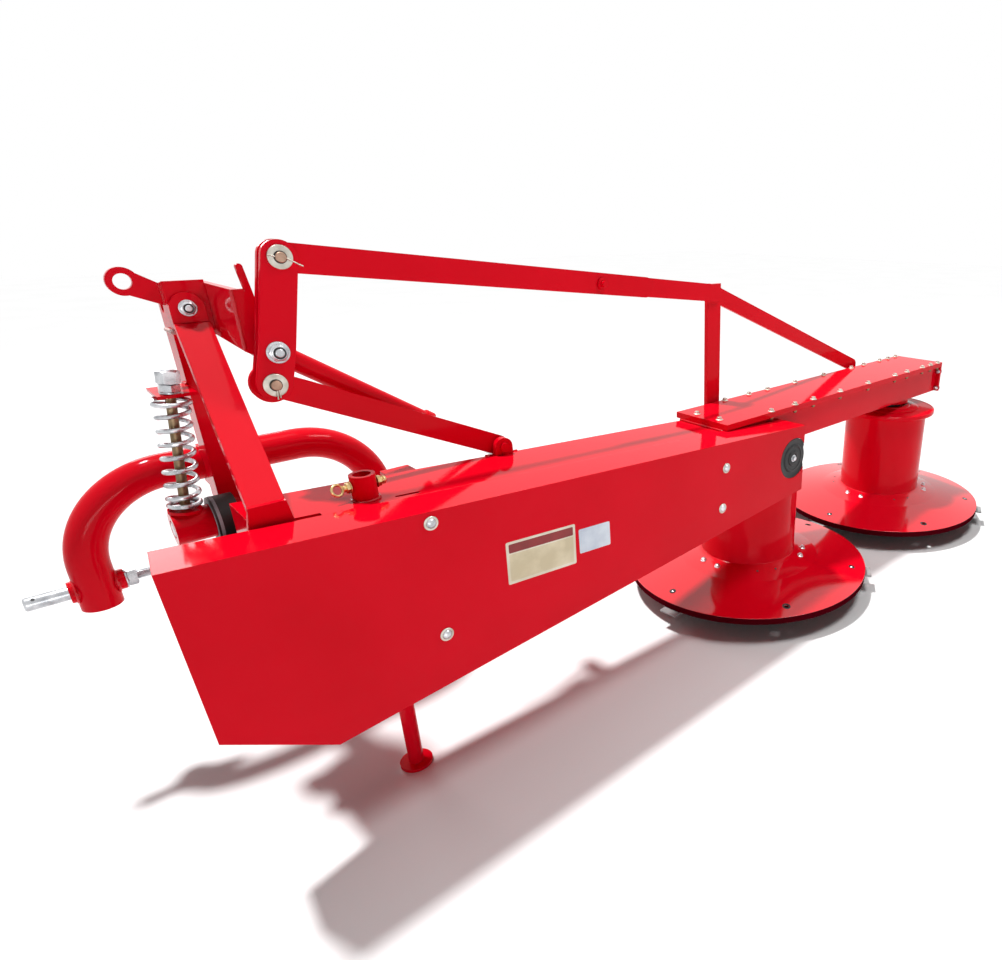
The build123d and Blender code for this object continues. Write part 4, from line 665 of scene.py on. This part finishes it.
# ---- pulley cap in the guard's notch --------------------------------------------------------
CAP = (-0.018, -0.1475, 0.390)
bm = bmesh.new()
lathe(bm, CAP, TO_REAR, [
    (0, -0.0010), (0.0496, -0.0010), (0.0496, 0.0012), (0.0470, 0.0018), (0.0450, 0.0006), (0.0350, 0.0004),
    (0.0335, 0.0020), (0.0300, 0.0024), (0.0285, 0.0008), (0.0190, 0.0008), (0.0175, 0.0026),
    (0.0120, 0.0030), (0.0105, 0.0016), (0, 0.0016),
], 56)
GUARD_END_X = 0.0218
cut = bm.verts[:] + bm.edges[:] + bm.faces[:]
bmesh.ops.bisect_plane(bm, geom=cut, plane_co=(GUARD_END_X, 0, 0), plane_no=(1, 0, 0), clear_outer=True)
bmesh.ops.holes_fill(bm, edges=[e for e in bm.edges if e.is_boundary])
finish_piece("pulley_cap", bm, plastic, "cutting_unit")
bm = bmesh.new()
washer(bm, CAP, TO_REAR, 0.0030, 0.0088, 0.0016, 0.0028)
hex_head(bm, CAP, TO_REAR, 0.0105, 0.0028, 0.0070)
finish_piece("pulley_cap_bolt", bm, zinc, "cutting_unit")

# ---- rubber buffer's chamfer, pale grey as a painted highlight ------------------------------
BUFFER = Vector((-1.121, 0.200, 0.465))
bm = bmesh.new()
lathe(bm, BUFFER, X_AXIS, [
    (0.0290, -0.0004), (0.0352, -0.0004), (0.0386, 0.0036), (0.0386, 0.0075), (0.0376, 0.0075),
], 40)
finish_piece("buffer_chamfer", bm, rubber_with_painted_highlight, "hitch")

# ---- drums: rings, welds, hub bolts, access holes' rims, axle flanges -------------------------
DISH_RADIUS = 0.148
DISH_Z = 0.1000
DISH_LEAN = math.atan2(13, 48)
LIPS = {"inner": 0.128, "outer": 0.146}
HOLE_CIRCLE = 0.281
PAIR_HALF_ANGLE = 9.5           # degrees between a hub bolt and the middle of its pair
DRUM_FOOT_Z = 0.1046
DRUM_WELD_RADIUS = 0.1262
BEAM_BOTTOM_Z = 0.399
SKIRT_HOLE_Z = 0.0717           # the skirt's own height there
SKIRT_LEAN = math.atan2(25, 132)
for name, (x, top) in DRUMS.items():
    rotor = name + "_rotor"
    lip = LIPS[name]
    bm = bmesh.new()
    lathe(bm, (x, 0, top), Z_AXIS, [
        (0.0600, -0.0005), (0.0980, -0.0005), (0.0980, 0.0030), (0.0950, 0.0050), (0.0720, 0.0055),
        (0.0700, 0.0095), (0.0600, 0.0100), (0.0590, 0.0000),
    ], 56)
    lathe(bm, (x, 0, top), Z_AXIS, [
        (lip - 0.0008, -0.0126), (lip + 0.0012, -0.0108), (lip + 0.0020, -0.0066), (lip + 0.0012, -0.0018),
        (lip - 0.0010, 0.0004), (lip - 0.0060, 0.0006),
    ], 72)
    finish_piece(name + "_drum_rings", bm, red, rotor)
    bm = bmesh.new()
    bead(bm, circle((x, 0, DRUM_FOOT_Z), Z_AXIS, DRUM_WELD_RADIUS, 0.0035), 0.0022, 0.008, True)
    finish_piece(name + "_drum_weld", bm, weld_red, rotor)
    silver, dark = bmesh.new(), bmesh.new()
    for k in range(6):
        for side in (-1, 1):
            a = math.radians(60 * k + PAIR_HALF_ANGLE * side)
            out = Vector((math.cos(a), math.sin(a), 0))
            place = Vector((x, 0, DISH_Z)) + out * DISH_RADIUS
            up = (Z_AXIS * math.cos(DISH_LEAN) + out * math.sin(DISH_LEAN)).normalized()
            if k % 2:
                flange_bolt(silver, place, up, 0.0078, 0.0096, 0.0062)
            else:
                button(dark, place, up, 0.0034, -0.0010, 0.0014, 12)
    for k in range(6):
        a = math.radians(60 * k)
        place = Vector((x + HOLE_CIRCLE * math.cos(a), HOLE_CIRCLE * math.sin(a), SKIRT_HOLE_Z))
        out = Vector((math.cos(a), math.sin(a), 0))
        up = (Z_AXIS * math.cos(SKIRT_LEAN) + out * math.sin(SKIRT_LEAN)).normalized()
        if k % 2:
            washer(dark, place, up, 0.0045, 0.0082, -0.0010, 0.0010)
            button(silver, place, up, 0.0044, -0.0010, 0.0016, 14)
        else:
            washer(dark, place, up, 0.0060, 0.0100, -0.0010, 0.0004)
    finish_piece(name + "_hub_bolts", silver, zinc, rotor)
    finish_piece(name + "_hub_bolts_dark", dark, black, rotor)
    bm = bmesh.new()
    lathe(bm, (x, 0, BEAM_BOTTOM_Z), -Z_AXIS, [
        (0.0600, 0.0002), (0.0640, 0.0002), (0.0640, 0.0136), (0.0600, 0.0152), (0.0450, 0.0152),
        (0.0445, 0.0140),
    ], 48)
    finish_piece(name + "_axle_flange", bm, red, "cutting_unit")

# ---- blank plates on the guard --------------------------------------------------------------
PLATE_THICK = 0.0003
PRINT_THICK = 0.00012


def plate(bm, corners, corner):
    """Plate on the guard's face through its four corners in X and Z, from the upper left round."""
    (x0, z0), (x1, z1), (x2, z2), (x3, z3) = corners
    across = Vector(((x1 + x2 - x0 - x3) / 2, 0, (z1 + z2 - z0 - z3) / 2))
    up = Vector(((x0 + x1 - x2 - x3) / 2, 0, (z0 + z1 - z2 - z3) / 2))
    middle = ((x0 + x1 + x2 + x3) / 4, GUARD_FACE_Y - 0.00005, (z0 + z1 + z2 + z3) / 4)
    slab(bm, middle, across, up, across.length, up.length, PLATE_THICK, corner)
    return Vector(middle), across, up


LARGE_PLATE = ((-0.798, 0.431), (-0.659, 0.422), (-0.662, 0.345), (-0.799, 0.354))
SMALL_PLATE = ((-0.653, 0.408), (-0.582, 0.403), (-0.583, 0.356), (-0.652, 0.360))
bm = bmesh.new()
middle, across, up = plate(bm, LARGE_PLATE, 0.0030)
finish_piece("maker_plate_edge", bm, cream_edge, "cutting_unit")
width, height = across.length, up.length
right, above = across.normalized(), up.normalized()
bm = bmesh.new()
field_middle = middle - above * 0.009 + TO_REAR * PLATE_THICK
slab(bm, field_middle, right, above, width - 0.010, height - 0.028, PRINT_THICK, 0.002)
finish_piece("maker_plate_field", bm, cream, "cutting_unit")
bm = bmesh.new()
header_middle = middle + above * (height / 2 - 0.0125) + TO_REAR * PLATE_THICK
slab(bm, header_middle, right, above, width - 0.010, 0.016, PRINT_THICK, 0.002)
finish_piece("maker_plate_header", bm, header, "cutting_unit")
bm = bmesh.new()
plate(bm, SMALL_PLATE, 0.0025)
finish_piece("data_plate", bm, pale_blue, "cutting_unit")

# ---- welds ----------------------------------------------------------------------------------
pale, painted = bmesh.new(), bmesh.new()
bead(pale, straight((-1.0955, 0.2995, 0.7568), (-1.0955, 0.2505, 0.7568)), 0.0034, 0.007)
bead(pale, straight((-1.0955, 0.2502, 0.7568), (-1.0440, 0.2502, 0.7568)), 0.0030, 0.007, seed=1.0)
finish_piece("mast_weld_scorched", pale, weld_pale, "hitch")
for start, end, size in (
    ((-1.0965, 0.2660, 0.6705), (-1.0965, 0.2510, 0.6705), 0.0030),      # bracket under the nuts
    ((-1.0965, 0.2660, 0.6765), (-1.0965, 0.2510, 0.6765), 0.0030),
    ((-1.0930, 0.2810, 0.8280), (-1.0930, 0.2810, 0.7960), 0.0026),      # lifting eye
    ((-1.0930, 0.2710, 0.8280), (-1.0930, 0.2710, 0.7960), 0.0026),
    ((-1.0290, 0.2515, 0.7480), (-1.0290, 0.2515, 0.8260), 0.0028),      # arm on the head
    ((-1.0390, 0.1045, 0.7420), (-1.0390, 0.1045, 0.8260), 0.0028),
    ((-1.1180, -0.0555, 0.5545), (-1.0720, -0.0555, 0.5545), 0.0032),    # strap on the cheek
    ((-1.0940, 0.2480, 0.4745), (-1.0460, 0.2480, 0.4745), 0.0032),      # post on the yoke
):
    bead(painted, straight(start, end), size, 0.007, seed=start[0] * 90)
for leg_x, out in ((-1.281, -1), (-0.809, 1)):
    for side, distance in ((1, 0.0268), (-1, 0.0268)):
        place = Vector((leg_x, HITCH_Y, PIN_Z)) + X_AXIS * (out * side * distance)
        bead(painted, circle(place, X_AXIS, 0.0186), 0.0026, 0.006, True, seed=side)
bead(painted, circle((-1.0700, HITCH_Y, 0.526), X_AXIS, 0.0292, start=0.1, sweep=2.9), 0.0026, 0.007)
finish_piece("hitch_welds", painted, weld_red, "hitch")

painted = bmesh.new()
bead(painted, circle((STAND[0], STAND[1], 0.5215), Z_AXIS, 0.0198), 0.0024, 0.006, True)
for start, end, size in (
    ((-0.1842, -0.0690, 0.4755), (-0.1842, 0.0690, 0.4755), 0.0030),     # carrier on the gearbox beam
    ((-0.8770, 0.0700, 0.5085), (-0.8270, 0.0700, 0.5055), 0.0028),      # far shelf
    ((-0.0705, 0.0696, 0.4140), (-0.0235, 0.0696, 0.4140), 0.0026),      # strut's foot
    ((0.5930, 0.0696, 0.4320), (0.6310, 0.0696, 0.4320), 0.0026),        # brace's foot
    ((-0.6980, 0.0695, 0.5050), (-0.6300, 0.0695, 0.5010), 0.0026),      # lower link's lug
):
    bead(painted, straight(start, end), size, 0.007, seed=start[0] * 70)
finish_piece("frame_welds", painted, weld_red, "cutting_unit")

# ---- floor, light and camera ----------------------------------------------------------------
scene = bpy.context.scene
scene.view_settings.view_transform = "Standard"

FLOOR_HALF = 14.0
floor_mesh = bpy.data.meshes.new("floor")
floor_mesh.from_pydata(
    [(x, y, -0.0005) for x, y in ((-FLOOR_HALF, -FLOOR_HALF), (FLOOR_HALF, -FLOOR_HALF),
                                  (FLOOR_HALF, FLOOR_HALF), (-FLOOR_HALF, FLOOR_HALF))],
    [],
    [(0, 1, 2, 3)],
)
floor = bpy.data.objects.new("floor", floor_mesh)
scene.collection.objects.link(floor)
floor_mat = new_material("pale_floor", (0.90, 0.90, 0.90), roughness=0.9, Specular_IOR_Level=0.0)
link(floor_mat, ramp_of(floor_mat, noise_of(floor_mat, 2.0), [(0.2, (0.78,) * 3), (0.8, (0.81,) * 3)]),
     shader_of(floor_mat).inputs["Base Color"])
floor_mesh.materials.append(floor_mat)

world = bpy.data.worlds.new("studio")
scene.world = world
world.use_nodes = True
tree = world.node_tree
tree.nodes.clear()
output = tree.nodes.new("ShaderNodeOutputWorld")
ambient = tree.nodes.new("ShaderNodeBackground")
ambient.inputs["Strength"].default_value = 0.08
seen = tree.nodes.new("ShaderNodeBackground")
seen.inputs["Strength"].default_value = 1.0
for background in (ambient, seen):
    background.inputs["Color"].default_value = (1, 1, 1, 1)
path = tree.nodes.new("ShaderNodeLightPath")
glossy = tree.nodes.new("ShaderNodeMath")
glossy.operation = "MAXIMUM"
camera_or = tree.nodes.new("ShaderNodeMath")
camera_or.operation = "MAXIMUM"
tree.links.new(path.outputs["Is Glossy Ray"], glossy.inputs[0])
tree.links.new(path.outputs["Is Transmission Ray"], glossy.inputs[1])
tree.links.new(glossy.outputs[0], camera_or.inputs[0])
tree.links.new(path.outputs["Is Camera Ray"], camera_or.inputs[1])
mix = tree.nodes.new("ShaderNodeMixShader")
tree.links.new(camera_or.outputs[0], mix.inputs["Fac"])
tree.links.new(ambient.outputs[0], mix.inputs[1])
tree.links.new(seen.outputs[0], mix.inputs[2])
tree.links.new(mix.outputs[0], output.inputs["Surface"])


def add_light(name, kind, place, target, energy, **values):
    data = bpy.data.lights.new(name, kind)
    data.energy = energy
    for key, value in values.items():
        setattr(data, key, value)
    lamp = bpy.data.objects.new(name, data)
    lamp.location = place
    lamp.rotation_mode = "QUATERNION"
    lamp.rotation_quaternion = (Vector(target) - Vector(place)).to_track_quat("-Z", "Y")
    scene.collection.objects.link(lamp)
    return lamp


MIDDLE = Vector((-0.4, 0.0, 0.4))
add_light("key", "SUN", MIDDLE + Vector((-0.14, 0.42, 1.25)), MIDDLE, 3.9, angle=math.radians(5))
for name, place, target, watts, width, height in (
    ("front_fill", (-2.4, -3.4, 0.45), MIDDLE, 24.0, 2.2, 0.6),
    ("overhead", (-0.9, 0.4, 3.3), (-0.9, 0.2, 0.5), 12.0, 1.6, 1.1),
    ("skirt_light", (0.6, -0.75, 2.6), (0.35, -0.2, 0.1), 34.0, 0.9, 0.7),
    ("back_card", (-0.7, 4.8, 2.5), (-1.0, 0.0, 0.5), 38.0, 1.8, 1.2),
):
    add_light(name, "AREA", place, target, watts, shape="RECTANGLE", size=width, size_y=height)

CAMERA_PLACE = Vector((-1.3097, -1.0888, 0.9267))
CAMERA_YAW = math.radians(46.0)
CAMERA_PITCH = math.radians(22.4)
CAMERA_ROLL = math.radians(0.34)
camera_data = bpy.data.cameras.new("camera")
camera_data.sensor_width = 36.0
camera_data.lens = 24.9
camera_data.shift_x = -0.1997
camera_data.shift_y = 0.0220
camera = bpy.data.objects.new("camera", camera_data)
scene.collection.objects.link(camera)
scene.camera = camera
look = Vector((math.sin(CAMERA_YAW) * math.cos(CAMERA_PITCH), math.cos(CAMERA_YAW) * math.cos(CAMERA_PITCH),
               -math.sin(CAMERA_PITCH)))
camera.matrix_world = (
    Matrix.Translation(CAMERA_PLACE)
    @ look.to_track_quat("-Z", "Y").to_matrix().to_4x4()
    @ Matrix.Rotation(CAMERA_ROLL, 4, "Z")
)
camera_data.clip_end = 100.0
